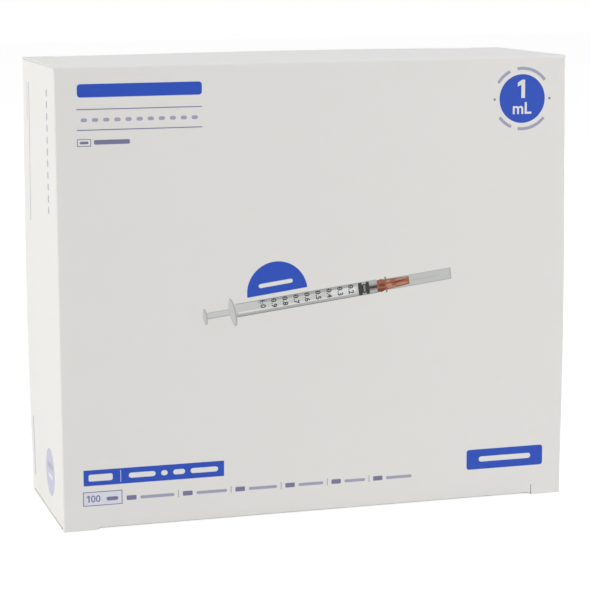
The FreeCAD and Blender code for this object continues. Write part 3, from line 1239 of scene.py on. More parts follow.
@dataclass
class WrappedSyringes:
    """The ranks of sealed packs: a paper back, a clear film, and a capped syringe between them."""

    finishes: Finishes
    sizes: PackSizes = PackSizes()
    carton: CartonSizes = CartonSizes()

    def build(self) -> list[bpy.types.Object]:
        """Return one piece for each rank, in the place of its node."""
        return [self._rank(number) for number in range(self.sizes.ranks)]

    def _rank(self, number: int) -> bpy.types.Object:
        """Return the two packs of a rank; every second rank stands head down.

        Args:
            number: The rank's number from the left, from 0.

        Returns:
            The finished piece.
        """
        sizes = self.sizes
        half = sizes.bulge / 2
        first = -self.carton.half_width + self.carton.board + sizes.wall_gap + half
        last = self.carton.half_width - 2 * self.carton.board - sizes.wall_gap - half
        x = first + (last - first) * number / (sizes.ranks - 1)
        over_flap = abs(x) + half > self.carton.half_width - sizes.dust_length - sizes.wall_gap
        floor = sizes.flap_floor if over_flap else sizes.closure_floor
        chance = random.Random(number)
        packs = PackMesh()
        for side in (-1, 1):
            self._syringe(packs)
            self._wrap(packs, chance)
            y = side * (sizes.width + sizes.file_gap) / 2
            place = Matrix.Translation((x, y, floor))
            if number % 2:
                place = place @ Matrix.Translation((0, 0, sizes.length)) @ Matrix.Rotation(math.pi, 4, "X")
            packs.move(place)
            packs.close_pack()
        name = f"wrapped_syringes_{number + 1:02d}"
        piece = packs.build(f"packed_{name}", self.finishes.pack, SHARP_PACK)
        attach(piece, Body.CARTON.value)
        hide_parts(name)
        return piece

    def _wrap(self, packs: PackMesh, chance: random.Random) -> None:
        """Add the envelope: film in front and paper behind, sealed flat round the syringe.

        Args:
            packs: The mesh to add to.
            chance: The rank's own chance, which creases the seals.
        """
        sizes = self.sizes
        middle = sizes.length / 2
        levels = [0.0, 1.2, 4.0, 6.5, sizes.seal, 12.0, sizes.seal + sizes.bulge]
        levels += steps(levels[-1], sizes.flange_z - sizes.bulge, 16.0)[1:]
        levels += [sizes.flange_z - 2.0, sizes.flange_z, 124.0, 133.0, sizes.head_z, 144.0]
        levels += [sizes.length - down for down in (9.0, 6.5, 4.0, 1.2, 0.0)]
        phase, beat, lean = chance.uniform(0, 6), chance.uniform(0.28, 0.42), chance.uniform(-0.25, 0.25)
        rows: dict[int, list[list[Vector]]] = {1: [], -1: []}
        for z in levels:
            thick, flat = sizes.bulge_at(z)
            base = flat / 2 + sizes.drape_slope * thick / 2
            half_way, shoulder = sizes.drape_shares
            bump = [(-base, 0.0), (-(base + flat / 2) / 2, half_way), (-flat / 2, shoulder), (0.0, 1.0)]
            bump += [(-y, share) for y, share in reversed(bump[:-1])]
            between_seals = sizes.seal < z < sizes.length - sizes.seal
            half_width = sizes.width / 2 - (0.0 if between_seals else sizes.seal_inset)
            stations = [(-half_width, -1.0)] + [(-half_width + step, 0.0) for step in sizes.drape_steps]
            stations += [(sizes.offset + y, share) for y, share in bump] + [(half_width, -1.0)]
            ends = min(1.0, abs(z - middle) / (middle - sizes.seal)) ** sizes.crease_end_power
            for face, row in rows.items():
                line = []
                for y, share in stations:
                    turn = y * beat + phase + z * sizes.crease_climb
                    wave = sizes.crease * ends * math.sin(turn) + lean * ends
                    full = max(0.0, thick / 2 - sizes.film_slack)
                    out = 0.0 if share < 0 else sizes.ply / 2 + full * share
                    line.append(Vector((wave + face * out, y, z)))
                row.append(line)
        count = len(rows[1][0])
        lows = [row * count + column for row in range(len(levels) - 1) for column in range(count - 1)]
        for face, part in ((1, PackPart.FILM), (-1, PackPart.PAPER)):
            points = [point for line in rows[face] for point in line]
            cells = [[low, low + 1, low + count + 1, low + count][::face] for low in lows]
            packs.add(part.slot, points, cells)

    def _syringe(self, packs: PackMesh) -> None:
        """Add the syringe with its needle, hub and cap, standing on the needle end.

        Args:
            packs: The mesh to add to.
        """
        sizes = self.sizes
        flange = sizes.flange_z
        head = sizes.head_z
        packs.turned(PackPart.CLEAR, [
            (15.4, 0.9, 0.9), (16.0, 1.5, 1.5), (48.0, 1.9, 1.9), (48.4, 2.2, 2.2), (50.0, 2.2, 2.2)
        ])
        packs.turned(PackPart.STEEL, [(24.0, 0.05, 0.05), (26.0, 0.23, 0.23), (46.0, 0.23, 0.23)], 6)
        packs.turned(PackPart.ORANGE, [
            (45.0, 0.8, 0.8), (47.0, 1.3, 1.3), (55.5, 1.7, 1.7), (55.6, 2.3, 2.3), (57.0, 2.3, 2.3)
        ])
        packs.turned(PackPart.CLEAR, [
            (57.2, 1.5, 1.5), (59.6, 1.8, 1.8), (60.0, 2.6, 2.6), (flange - 0.8, 2.6, 2.6),
            (flange - 0.7, 2.85, 5.4), (flange + 0.7, 2.85, 5.4), (flange + 0.8, 2.5, 2.5),
        ], 12)
        packs.turned(PackPart.RUBBER, [
            (60.4, 0.4, 0.4), (61.4, 2.2, 2.2), (62.2, 2.3, 2.3), (62.6, 1.8, 1.8), (63.8, 1.8, 1.8),
            (64.2, 2.3, 2.3), (65.2, 2.2, 2.2),
        ])
        wide, thin = 1.9, 0.5
        cross = [(wide, -thin), (wide, thin), (thin, thin), (thin, wide), (-thin, wide), (-thin, thin),
                 (-wide, thin), (-wide, -thin), (-thin, -thin), (-thin, -wide), (thin, -wide), (thin, -thin)]
        packs.prism(PackPart.CLEAR, [[Vector((x, y, z)) for x, y in cross] for z in (65.3, head - 1.6)])
        packs.turned(PackPart.CLEAR, [
            (head - 1.6, 2.0, 3.2), (head - 1.4, 2.7, 4.1), (head - 0.4, 2.7, 4.1), (head - 0.2, 2.2, 3.6)
        ], 12)
        for mark in range(11):
            z = 67.0 + mark * 4.4
            sweep = arc_points((0, 0), 2.66, -38, 38, 2) + arc_points((0, 0), 2.55, 38, -38, 2)
            packs.prism(PackPart.MARKS, [[Vector((x, y, z + up)) for x, y in sweep] for up in (-0.12, 0.12)])
        packs.move(Matrix.Translation((0, sizes.offset, 0)))


# The print


@dataclass
class Mark:
    """One flat printed shape: outlines in panel millimetres, filled by the even-odd rule."""

    ink: Ink
    loops: list[Loop]
    layer: int = 0


def rectangle(u0: float, u1: float, v0: float, v1: float) -> Loop:
    """Return a rectangle's outline."""
    return [(u0, v0), (u1, v0), (u1, v1), (u0, v1)]


def rounded(u0: float, u1: float, v0: float, v1: float, radius: float) -> Loop:
    """Return a rectangle's outline with rounded corners.

    Args:
        u0: Left side.
        u1: Right side.
        v0: Foot.
        v1: Top.
        radius: Of a corner.

    Returns:
        The outline.
    """
    corners = [(u1 - radius, v0 + radius, 270), (u1 - radius, v1 - radius, 0),
               (u0 + radius, v1 - radius, 90), (u0 + radius, v0 + radius, 180)]
    loop: Loop = []
    for u, v, start in corners:
        loop += arc_points((u, v), radius, start, start + 90, 4)
    return loop


def circle(centre: Point, radius: float, count: int = 48) -> Loop:
    """Return a circle's outline."""
    return arc_points(centre, radius, 0, 360, count)[:-1]


def capsule(u0: float, u1: float, v0: float, v1: float) -> Loop:
    """Return a bar's outline with round ends."""
    return rounded(u0, u1, v0, v1, (v1 - v0) / 2)


def arc_bar(centre: Point, inner: float, outer: float, start: float, end: float) -> Loop:
    """Return a bar bent round a centre, between two directions in degrees."""
    count = max(2, math.ceil(abs(end - start) / 5))
    return arc_points(centre, outer, start, end, count) + arc_points(centre, inner, end, start, count)


def ellipse(centre: Point, half_u: float, half_v: float, degrees: float = 0.0) -> Loop:
    """Return the outline of an ellipse turned about its centre."""
    flat = [(half_u * u, half_v * v) for u, v in circle((0, 0), 1, 32)]
    return placed([flat], centre, degrees)[0]


def bar_row(u0: float, u1: float, v0: float, v1: float, count: int, gap: float) -> list[Loop]:
    """Return a row of equal bars with round ends.

    Args:
        u0: Left end.
        u1: Right end.
        v0: Foot of the bars.
        v1: Top of the bars.
        count: Number of bars.
        gap: Space between them.

    Returns:
        One loop for each bar.
    """
    width = (u1 - u0 - gap * (count - 1)) / count
    starts = [u0 + index * (width + gap) for index in range(count)]
    return [capsule(start, start + width, v0, v1) for start in starts]


def figures(text: str, height: float, weight: float = 0.0) -> list[Loop]:
    """Return the outlines of plain figures, with the foot of the first one at the origin.

    Args:
        text: Figures of a scale or a measure.
        height: Height of a figure.
        weight: How much thicker the strokes are, as a share of the font's size.

    Returns:
        Their outlines, holes included.
    """
    curve = bpy.data.curves.new("figures", "FONT")
    curve.body = text
    curve.resolution_u = 3
    curve.offset = weight
    holder = bpy.data.objects.new("figures", curve)
    mesh = bpy.data.meshes.new_from_object(holder)
    uses: dict[tuple[int, int], int] = {}
    for polygon in mesh.polygons:
        for a, b in polygon.edge_keys:
            uses[(a, b)] = uses.get((a, b), 0) + 1
    following: dict[int, list[int]] = {}
    for (a, b), count in uses.items():
        if count == 1:
            following.setdefault(a, []).append(b)
            following.setdefault(b, []).append(a)
    places = [(v.co.x, v.co.y) for v in mesh.vertices]
    loops: list[Loop] = []
    left = set(following)
    while left:
        start = min(left)
        chain = [start]
        left.discard(start)
        while True:
            onward = [n for n in following[chain[-1]] if n in left]
            if not onward:
                break
            chain.append(onward[0])
            left.discard(onward[0])
        loops.append([places[index] for index in chain])
    bpy.data.objects.remove(holder)
    bpy.data.curves.remove(curve)
    bpy.data.meshes.remove(mesh)
    tall = max(v for loop in loops for _, v in loop)
    start_u = min(u for loop in loops for u, _ in loop)
    scale = height / tall
    return [[((u - start_u) * scale, v * scale) for u, v in loop] for loop in loops]


def figure_one(height: float) -> Loop:
    """Return the outline of a plain figure one, with its foot in the middle at the origin."""
    corners = [(-0.1, 0), (0.12, 0), (0.12, 1), (-0.06, 1), (-0.31, 0.84), (-0.31, 0.63), (-0.1, 0.73)]
    return [(u * height, v * height) for u, v in corners]


def width_of(loops: list[Loop]) -> float:
    """Return how wide a set of outlines is."""
    places = [u for loop in loops for u, _ in loop]
    return max(places) - min(places)


def placed(loops: list[Loop], origin: Point, degrees: float = 0.0) -> list[Loop]:
    """Return outlines turned about their origin and set down at a point.

    Args:
        loops: The outlines.
        origin: Where they are set down.
        degrees: How far they turn.

    Returns:
        The outlines in their place.
    """
    cos, sin = math.cos(math.radians(degrees)), math.sin(math.radians(degrees))
    return [
        [(origin[0] + u * cos - v * sin, origin[1] + u * sin + v * cos) for u, v in loop] for loop in loops
    ]


def inside(point: Point, loops: Sequence[Loop]) -> bool:
    """Say whether a point lies inside outlines, by the even-odd rule.

    Args:
        point: The point.
        loops: The outlines.

    Returns:
        True inside.
    """
    odd = False
    for loop in loops:
        for (u0, v0), (u1, v1) in zip(loop, loop[1:] + loop[:1]):
            if (v0 > point[1]) != (v1 > point[1]):
                if point[0] < u0 + (point[1] - v0) / (v1 - v0) * (u1 - u0):
                    odd = not odd
    return odd


@dataclass
class PrintedPanel:
    """The print of one panel, laid on its surface as thin films of ink."""

    name: str
    surface: Surface
    outward: Vector
    finishes: Finishes
    cell: float = 5.0
    film: float = 0.02
    layer_step: float = 0.006
    sink: float = 0.02
    merge_distance: float = 1e-5
    marks: list[Mark] = field(default_factory=list)

    def add(self, ink: Ink, *loops: Loop, layer: int = 0) -> None:
        """Print a shape from its outlines."""
        self.marks.append(Mark(ink, list(loops), layer))

    def build(self) -> bpy.types.Object:
        """Return the print as one piece that rides on the carton.

        Returns:
            The print.
        """
        inks = sorted({mark.ink for mark in self.marks}, key=lambda ink: ink.label)
        films = PieceMesh()
        for mark in self.marks:
            films.add(inks.index(mark.ink), *self._film(mark))
        piece = films.build(self.name, [self.finishes.inks[ink] for ink in inks], SHARP_BOARD)
        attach(piece, Body.CARTON.value)
        return piece

    def _divided(self, loop: Loop) -> Loop:
        """Return an outline with no side longer than a cell.

        Args:
            loop: The outline.

        Returns:
            Its divided outline.
        """
        points: Loop = []
        for (u0, v0), (u1, v1) in zip(loop, loop[1:] + loop[:1]):
            count = max(1, math.ceil(math.hypot(u1 - u0, v1 - v0) / self.cell))
            points += [(u0 + (u1 - u0) * i / count, v0 + (v1 - v0) * i / count) for i in range(count)]
        return points

    def _film(self, mark: Mark) -> tuple[list[Vector], list[list[int]]]:
        """Return a closed thin film over a mark, following the panel.

        Args:
            mark: The shape to cover.

        Returns:
            Its points and its faces.
        """
        places: list[Vector] = []
        edges: list[tuple[int, int]] = []
        for loop in mark.loops:
            divided = self._divided(loop)
            first = len(places)
            places += [Vector(p) for p in divided]
            edges += [(first + i, first + (i + 1) % len(divided)) for i in range(len(divided))]
        us = [p.x for p in places]
        vs = [p.y for p in places]
        for u in steps(min(us), max(us), self.cell)[1:-1]:
            places += [Vector((u, v)) for v in steps(min(vs), max(vs), self.cell)[1:-1]]
        flat, _, triangles, *_ = delaunay_2d_cdt(places, edges, [], 0, self.merge_distance)
        kept = []
        for triangle in triangles:
            centre = sum((flat[i] for i in triangle), Vector((0, 0))) / len(triangle)
            if inside((centre.x, centre.y), mark.loops):
                kept.append(list(triangle))
        used = sorted({index for triangle in kept for index in triangle})
        number = {index: order for order, index in enumerate(used)}
        kept = [[number[index] for index in triangle] for triangle in kept]
        top: list[Vector] = []
        bottom: list[Vector] = []
        lift = self.film + self.layer_step * mark.layer
        for index in used:
            place, normal = self.surface(flat[index].x, flat[index].y)
            top.append(place + normal * lift)
            bottom.append(place - normal * self.sink)
        a, b, c = (top[index] for index in kept[0])
        if (b - a).cross(c - a).dot(self.outward) < 0:
            kept = [list(reversed(triangle)) for triangle in kept]
        sides = [side for triangle in kept for side in zip(triangle, triangle[1:] + triangle[:1])]
        both = set(sides)
        count = len(used)
        faces = kept + [[count + index for index in reversed(triangle)] for triangle in kept]
        rim = [(start, end) for start, end in sides if (end, start) not in both]
        faces += [[start, count + start, count + end, end] for start, end in rim]
        return top + bottom, faces


@dataclass
class FrontPrint:
    """The front panel's print: heading, discs, picture of a syringe, size bar and foot line."""

    sizes: CartonSizes
    finishes: Finishes

    def __post_init__(self) -> None:
        """Start the front's print."""
        self.panel = PrintedPanel("front_print", self.sizes.front, Vector((0, -1, 0)), self.finishes)

    def build(self) -> bpy.types.Object:
        """Return the front's print.

        Returns:
            The finished piece.
        """
        self._heading()
        self._measure_disc()
        self._half_disc()
        SyringePicture(self.panel).draw()
        self._size_bar()
        self._foot_line()
        self._plate()
        return self.panel.build()

    def _heading(self) -> None:
        """Print the heading's bar, its two rules, the dashed line and the small framed line."""
        self.panel.add(Ink.BLUE, rounded(-86.9, -42.6, 153.9, 158.5, 1.1))
        for level in (149.75, 142.6):
            self.panel.add(Ink.GREY, rectangle(-87.2, -42.7, level - 0.17, level + 0.17))
        self.panel.add(Ink.PALE_GREY, *bar_row(-85.8, -44.2, 145.4, 146.7, 11, 1.7))
        small_frame = rectangle(-87.2, -82.3, 136.9, 139.5)
        self.panel.add(Ink.GREY, small_frame, rectangle(-86.95, -82.55, 137.15, 139.25))
        self.panel.add(Ink.GREY, capsule(-86.3, -83.2, 137.75, 138.65))
        self.panel.add(Ink.GREY, rounded(-81.3, -68.6, 137.5, 139.1, 0.5))

    def _measure_disc(self) -> None:
        """Print the blue disc with its measure, and the bent bars and dots round it."""
        centre = (78.0, 149.4)
        unit = figures("mL", 4.2, 0.022)
        holes = placed([figure_one(6.7)], (centre[0] + 0.3, centre[1] + 0.2))
        holes += placed(unit, (centre[0] - width_of(unit) / 2, centre[1] - 5.5))
        self.panel.add(Ink.BLUE, circle(centre, 8.9, 72), *holes)
        for start, end in ((148, 116), (100, 37), (217, 247), (261, 320)):
            self.panel.add(Ink.PALE_GREY, arc_bar(centre, 10.5, 11.6, start, end))
        for side in (-10.8, 10.7):
            self.panel.add(Ink.GREY, circle((centre[0] + side, centre[1] - 0.1), 0.45, 12))

    def _half_disc(self) -> None:
        """Print the blue half disc over the syringe, with its plain white bar."""
        outline = arc_points((0, 0), 11.24, 0, 180, 40)
        bar = capsule(-6.6, 6.2, 2.6, 4.1)
        self.panel.add(Ink.BLUE, *placed([outline, bar], (-15.95, 82.5), 7.16))

    def _size_bar(self) -> None:
        """Print the blue bar, with its plain white bars left open."""
        holes = [rounded(-85.7, -77.0, 17.9, 20.4, 0.6), rectangle(-74.2, -74.0, 17.0, 21.3)]
        for start, end in ((-71.2, -61.4), (-59.4, -57.0), (-55.0, -50.6), (-48.6, -38.4)):
            holes.append(capsule(start, end, 18.2, 20.1))
        self.panel.add(Ink.BLUE, rectangle(-87.5, -36.2, 16.3, 22.0), *holes)

    def _foot_line(self) -> None:
        """Print the framed count and the line of six short entries."""
        frame = rectangle(-87.8, -73.6, 8.9, 14.1)
        field_edge = rectangle(-87.5, -73.9, 9.2, 13.8)
        self.panel.add(Ink.GREY, frame, field_edge)
        self.panel.add(Ink.TINT, field_edge)
        self.panel.add(Ink.GREY, *placed([figure_one(2.5)], (-85.7, 10.3)), layer=1)
        self.panel.add(Ink.GREY, *placed(figures("00", 2.5, 0.015), (-85.0, 10.3)), layer=1)
        self.panel.add(Ink.GREY, capsule(-79.4, -75.1, 10.5, 11.9), layer=1)
        starts = (-72.1, -51.5, -32.0, -13.2, 4.4, 20.5, 38.6)
        for start, following in zip(starts, starts[1:]):
            self.panel.add(Ink.GREY, rounded(start, start + 3.6, 10.1, 11.8, 0.3))
            self.panel.add(Ink.PALE_GREY, capsule(start + 5.0, following - 3.1, 10.3, 11.4))
            if following != starts[-1]:
                self.panel.add(Ink.GREY, rectangle(following - 1.7, following - 1.5, 9.7, 12.4))

    def _plate(self) -> None:
        """Print a plain blue plate with one white bar at the right foot."""
        self.panel.add(Ink.BLUE, rounded(57.2, 87.6, 11.4, 19.0, 1.0), capsule(62.0, 82.8, 14.2, 16.2))


@dataclass(frozen=True)
class SyringePicture:
    """The printed picture of a syringe, drawn along its own axis and laid on the front."""

    panel: PrintedPanel
    origin: Point = (-31.55, 76.6)
    tilt: float = 6.75
    barrel: float = 53.6
    half: float = 2.42
    scale_start: float = 9.4
    scale_pitch: float = 4.16
    figure_count: int = 9
    figure_height: float = 1.95
    figure_weight: float = 0.02
    cap_length: float = 28.8

    def draw(self) -> None:
        """Print every part of the picture."""
        self._plunger()
        self._barrel()
        self._stopper()
        self._scale()
        self._tip()

    def _add(self, ink: Ink, layer: int, *loops: Loop) -> None:
        """Print outlines given along the syringe's axis."""
        self.panel.add(ink, *placed(list(loops), self.origin, self.tilt), layer=layer)

    def _bands(self, bands: Iterable[tuple[Ink, int, Four]]) -> None:
        """Print straight bands, each from its ink, its layer, and its ends and sides."""
        for ink, layer, sides in bands:
            self._add(ink, layer, rectangle(*sides))

    def _plunger(self) -> None:
        """Print the thumb rest, the rod and the finger flange."""
        self._bands((
            (Ink.CLEAR, 1, (-11.0, -1.2, -1.3, 1.0)),
            (Ink.HALF_SHADE, 2, (-10.6, -1.4, -1.3, -0.95)),
            (Ink.HALF_SHADE, 2, (-10.6, -1.4, 0.78, 1.0)),
        ))
        self._add(Ink.HALF_SHADE, 2, ellipse((-11.2, -0.35), 0.8, 2.95, 2.0))
        self._add(Ink.CLEAR, 3, ellipse((-11.4, -0.3), 0.5, 2.65, 2.0))
        self._add(Ink.HALF_SHADE, 4, ellipse((-1.0, -0.35), 1.2, 5.15, 5.5))
        self._add(Ink.CLEAR, 5, ellipse((-1.25, -0.2), 0.85, 4.75, 5.5))

    def _barrel(self) -> None:
        """Print the clear barrel as bands of light and shade."""
        end, half = self.barrel, self.half
        self._bands((
            (Ink.CLEAR, 3, (0.0, end, -half, half)),
            (Ink.HALF_SHADE, 4, (8.5, 46.0, half - 1.1, half)),
            (Ink.SHADE, 5, (0.3, end, half - 0.16, half)),
            (Ink.HALF_SHADE, 4, (0.3, end, -half + 0.22, -half + 1.0)),
            (Ink.SHADE, 5, (0.3, end, -half, -half + 0.3)),
            (Ink.BRIGHT, 4, (1.0, 44.5, -half + 1.15, -half + 1.7)),
            (Ink.BRIGHT, 4, (36.0, 45.6, -0.5, half - 1.1)),
        ))

    def _stopper(self) -> None:
        """Print the dark stopper and the nozzle in front of it."""
        self._bands((
            (Ink.STOPPER, 6, (47.0, 50.2, -1.5, 1.5)),
            (Ink.HALF_SHADE, 6, (50.6, self.barrel, 0.9, 2.1)),
            (Ink.HALF_SHADE, 6, (50.6, self.barrel, -2.1, -1.2)),
            (Ink.SHADE, 6, (50.6, self.barrel, -1.2, 0.9)),
        ))
        for start, width, tall in ((46.4, 1.5, 2.25), (48.3, 0.7, 1.85), (49.3, 1.3, 2.2)):
            self._add(Ink.STOPPER, 7, rounded(start, start + width, -tall, tall, 0.3))
        self._add(Ink.STOPPER, 7, rounded(50.6, self.barrel, -0.55, 0.35, 0.2))
        self._add(Ink.SHADE, 8, rounded(48.4, 49.1, -1.2, 1.3, 0.2))

    def _scale(self) -> None:
        """Print the scale's lines and its plain figures, read across the barrel."""
        top = self.half - 0.2
        for index in range(self.figure_count):
            place = self.scale_start + self.scale_pitch * index
            shape = figures(f"{(10 - index) / 10:.1f}", self.figure_height, self.figure_weight)
            self._add(Ink.BLACK, 6, *placed(shape, (place, top - 0.1), -90))
            self._add(Ink.BLACK, 7, rectangle(place + 0.8, place + 1.0, top - 1.4, top))
            for part in range(1, 5 if index < self.figure_count - 1 else 1):
                u = place + 0.9 + self.scale_pitch * part / 5
                self._add(Ink.SHADE, 6, rectangle(u - 0.08, u + 0.08, top - 0.8, top))

    def _tip(self) -> None:
        """Print the orange hub, the needle and the clear cap over them."""
        start = self.barrel
        end = start + self.cap_length
        self._bands((
            (Ink.CAP, 2, (start + 3.3, end, -2.1, 2.1)),
            (Ink.HALF_SHADE, 3, (start + 3.3, end, 1.86, 2.1)),
            (Ink.HALF_SHADE, 3, (start + 3.3, end, -2.1, -1.75)),
            (Ink.HALF_SHADE, 4, (end - 0.5, end, -2.1, 2.1)),
            (Ink.SHADE, 5, (start + 3.1, start + 3.7, 1.5, 2.9)),
            (Ink.SHADE, 5, (start + 3.1, start + 3.7, -2.9, -1.5)),
            (Ink.HALF_SHADE, 4, (start + 12.4, start + 24.0, -0.1, 0.12)),
        ))
        foot = [(0.0, -2.2), (1.6, -2.4), (3.0, -1.9)]
        hub = foot + [(12.4, -1.3), (12.4, 1.6), (3.0, 2.0), (1.6, 2.3), (0.0, 2.1)]
        for ink, layer, outline in (
            (Ink.ORANGE, 6, hub),
            (Ink.DEEP_ORANGE, 7, foot + [(3.2, -1.2), (0.0, -1.1)]),
            (Ink.DEEP_ORANGE, 7, ellipse((1.9, 0.1), 1.3, 0.55, -4.0)),
            (Ink.DEEP_ORANGE, 8, ellipse((8.2, 0.45), 2.6, 0.28, 6.0)),
            (Ink.PALE_ORANGE, 7, ellipse((4.6, -0.4), 1.2, 0.5, 2.0)),
            (Ink.PALE_ORANGE, 7, ellipse((5.6, -1.15), 1.9, 0.3, 2.0)),
            (Ink.PALE_ORANGE, 7, ellipse((9.6, -0.55), 2.4, 0.4, 2.0)),
            (Ink.PALE_ORANGE, 7, ellipse((9.4, 1.15), 2.6, 0.28, 2.0)),
            (Ink.PALE_ORANGE, 7, ellipse((4.4, 1.2), 0.9, 0.4, 2.0)),
        ):
            self._add(ink, layer, [(start + u, v) for u, v in outline])


@dataclass
class SidePrint:
    """The left panel's print: two rules, an upright row of dashes, a disc and a strip, in pale ink."""

    sizes: CartonSizes
    finishes: Finishes

    def build(self) -> bpy.types.Object:
        """Return the side's print.

        Returns:
            The finished piece.
        """
        panel = PrintedPanel("side_print", self.sizes.left, Vector((-1, 0, 0)), self.finishes)
        panel.add(Ink.PALE_GREY, rectangle(19.3, 20.3, 142.2, 156.4), rectangle(19.3, 20.3, 105.5, 127.4))
        panel.add(Ink.LILAC, rectangle(18.9, 20.3, 127.6, 142.0))
        panel.add(Ink.FAINT, rectangle(23.0, 25.0, 142.2, 156.4))
        column = bar_row(112.0, 156.2, -19.2, -17.0, 11, 1.4)
        panel.add(Ink.PALE_GREY, *[[(v, u) for u, v in loop] for loop in column])
        panel.add(Ink.LILAC, circle((-8.0, 16.2), 8.8, 60), capsule(-12.0, -4.0, 13.9, 15.3))
        panel.add(Ink.PALE_GREY, capsule(-13.2, -2.8, 17.6, 19.6), layer=1)
        panel.add(Ink.LILAC, rectangle(25.2, 27.4, 7.0, 30.0))
        return panel.build()


# Camera, light and floor


@dataclass(frozen=True)
class PhotoCamera:
    """The camera at the photograph's place, found from the carton's corners and outline."""

    place: Triple = (-219.2, -752.2, 203.8)
    yaw: float = -16.039
    pitch: float = 8.867
    roll: float = -0.374
    focal_pixels: float = 2110.2
    centre: Point = (285.9, 278.9)
    sensor: float = 36.0
    nearest: float = 10.0
    farthest: float = 20000.0

    def build(self) -> None:
        """Make the scene's camera."""
        data = bpy.data.cameras.new("photo_camera")
        camera = new_object("photo_camera", data)
        yaw, pitch, roll = (math.radians(a) for a in (self.yaw, self.pitch, self.roll))
        forward = Vector((
            -math.sin(yaw) * math.cos(pitch), math.cos(yaw) * math.cos(pitch), -math.sin(pitch)
        ))
        level = Vector((math.cos(yaw), math.sin(yaw), 0))
        upright = level.cross(forward)
        right = math.cos(roll) * level + math.sin(roll) * upright
        up = -math.sin(roll) * level + math.cos(roll) * upright
        matrix = Matrix((right, up, -forward)).transposed().to_4x4()
        matrix.translation = Vector(self.place) * MM
        camera.matrix_world = matrix
        longest = max(PHOTO_WIDTH, PHOTO_HEIGHT)
        data.sensor_width = self.sensor
        data.lens = self.focal_pixels * self.sensor / longest
        data.shift_x = (PHOTO_WIDTH / 2 - self.centre[0]) / longest
        data.shift_y = (self.centre[1] - PHOTO_HEIGHT / 2) / longest
        data.clip_start = self.nearest * MM
        data.clip_end = self.farthest * MM
        bpy.context.scene.camera = camera


@dataclass(frozen=True)
class SoftLamp:
    """A square soft box aimed at the carton's middle."""

    name: str
    place: Triple
    side: float
    power: float
    colour: Triple
    aim: Triple = (0, 0, 80)

    def build(self) -> None:
        """Make the lamp."""
        data = bpy.data.lights.new(self.name, "AREA")
        data.shape = "SQUARE"
        data.size = self.side * MM
        data.energy = self.power
        data.color = self.colour
        lamp = new_object(self.name, data)
        lamp.location = Vector(self.place) * MM
        aim = Vector(self.aim) * MM - lamp.location
        lamp.rotation_mode = "QUATERNION"
        lamp.rotation_quaternion = aim.to_track_quat("-Z", "Y")
        lamp.visible_camera = False


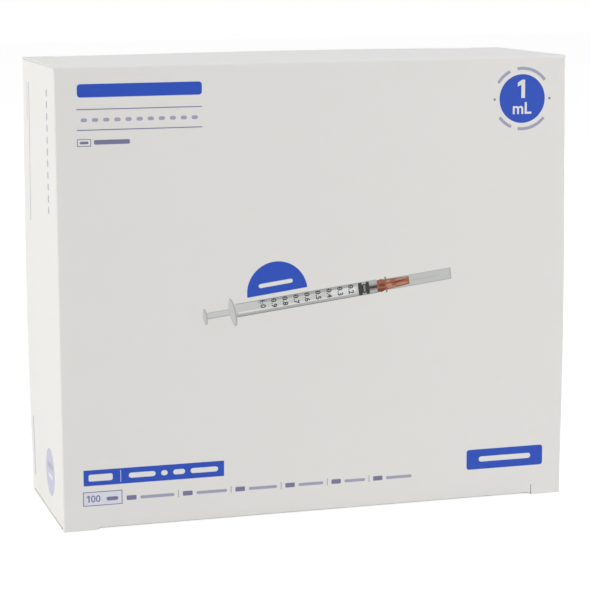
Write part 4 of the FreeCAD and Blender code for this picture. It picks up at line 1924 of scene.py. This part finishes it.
@dataclass
class Studio:
    """The white sweep, the world and the soft boxes."""

    ambient: float = 0.36
    floor_colour: float = 0.9
    floor_shadow: float = 0.25
    floor_glow: float = 0.9
    floor_size: float = 8000.0
    floor_drop: float = 0.02
    lamps: list[SoftLamp] = field(default_factory=lambda: [
        SoftLamp("left_box", (-1600, -200, 500), 1300, 14.4, (1.0, 0.99, 0.975)),
        SoftLamp("top_box", (100, -300, 1500), 1200, 7.75, (0.97, 1.0, 1.12)),
        SoftLamp("front_box", (740, -560, 40), 500, 3.35, (1.0, 0.985, 0.955)),
        SoftLamp("back_box", (1000, 1100, 60), 500, 7.0, (1.0, 0.995, 0.985)),
    ])

    def build(self) -> None:
        """Make the world, the floor and the lamps."""
        self._world()
        self._floor()
        for lamp in self.lamps:
            lamp.build()
        bpy.context.scene.view_settings.view_transform = "Standard"

    @staticmethod
    def _shown(nodes: Nodes) -> bpy.types.NodeSocket:
        """Return 1 for the rays that show the backdrop: camera, glossy and transmission rays.

        Args:
            nodes: The nodes of the floor's or the world's tree.

        Returns:
            A value of 0 or 1.
        """
        path = nodes.add("ShaderNodeLightPath")
        either = nodes.math("MAXIMUM", path.outputs["Is Camera Ray"], path.outputs["Is Glossy Ray"])
        return nodes.math("MAXIMUM", either, path.outputs["Is Transmission Ray"])

    def _world(self) -> None:
        """Make a world that is white to look at and gives an even, dimmer light."""
        world = bpy.data.worlds.new("studio")
        world.use_nodes = True
        bpy.context.scene.world = world
        nodes = Nodes(world.node_tree)
        background = next(n for n in world.node_tree.nodes if n.type == "BACKGROUND")
        shown = self._shown(nodes)
        strength = nodes.math("MULTIPLY_ADD", shown, 1.0 - self.ambient, self.ambient)
        background.inputs["Color"].default_value = (1, 1, 1, 1)
        nodes.join(strength, background.inputs["Strength"])

    def _floor(self) -> None:
        """Make the pale floor, mostly white to look at, which keeps the carton's shadow."""
        half = self.floor_size / 2 * MM
        mesh = bpy.data.meshes.new("floor")
        corners = [(x, y, 0) for x, y in rectangle(-half, half, -half, half)]
        mesh.from_pydata(corners, [], [(0, 1, 2, 3)])
        floor = new_object("floor", mesh)
        floor.location.z = -self.floor_drop * MM
        material, nodes, shader = new_material("pale_floor")
        shader.inputs["Roughness"].default_value = 1.0
        shader.inputs["Specular IOR Level"].default_value = 0.0
        shown = self._shown(nodes)
        lit = (self.floor_colour,) * 3
        seen = (self.floor_colour * self.floor_shadow,) * 3
        nodes.join(nodes.blend(shown, lit, seen), shader.inputs["Base Color"])
        shader.inputs["Emission Color"].default_value = (1, 1, 1, 1)
        nodes.join(nodes.math("MULTIPLY", shown, self.floor_glow), shader.inputs["Emission Strength"])
        mesh.materials.append(material)


def report(pieces: Iterable[bpy.types.Object]) -> None:
    """Say what was made."""
    for piece in pieces:
        LOG.info("%s: %d faces", piece.name, len(piece.data.polygons))


def main() -> None:
    """Build the dressed carton and its studio."""
    logging.basicConfig(level=logging.INFO, format="%(message)s")
    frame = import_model()
    sizes = CartonSizes()
    finishes = Finishes()
    lid = TuckClosure(sizes, finishes, "lid_sheet", "top_lid", Body.LID, rise=0.5)
    foot = TuckClosure(
        sizes, finishes, "closure_sheet", "bottom_closure", Body.CLOSURE, turned=True, tuck_radius=2.2
    )
    report([CartonSheet(sizes, finishes).build(), lid.build(), foot.build()])
    report([FrontPrint(sizes, finishes).build(), SidePrint(sizes, finishes).build()])
    report(WrappedSyringes(finishes).build())
    PhotoCamera().build()
    Studio().build()


if __name__ == "__main__":
    main()
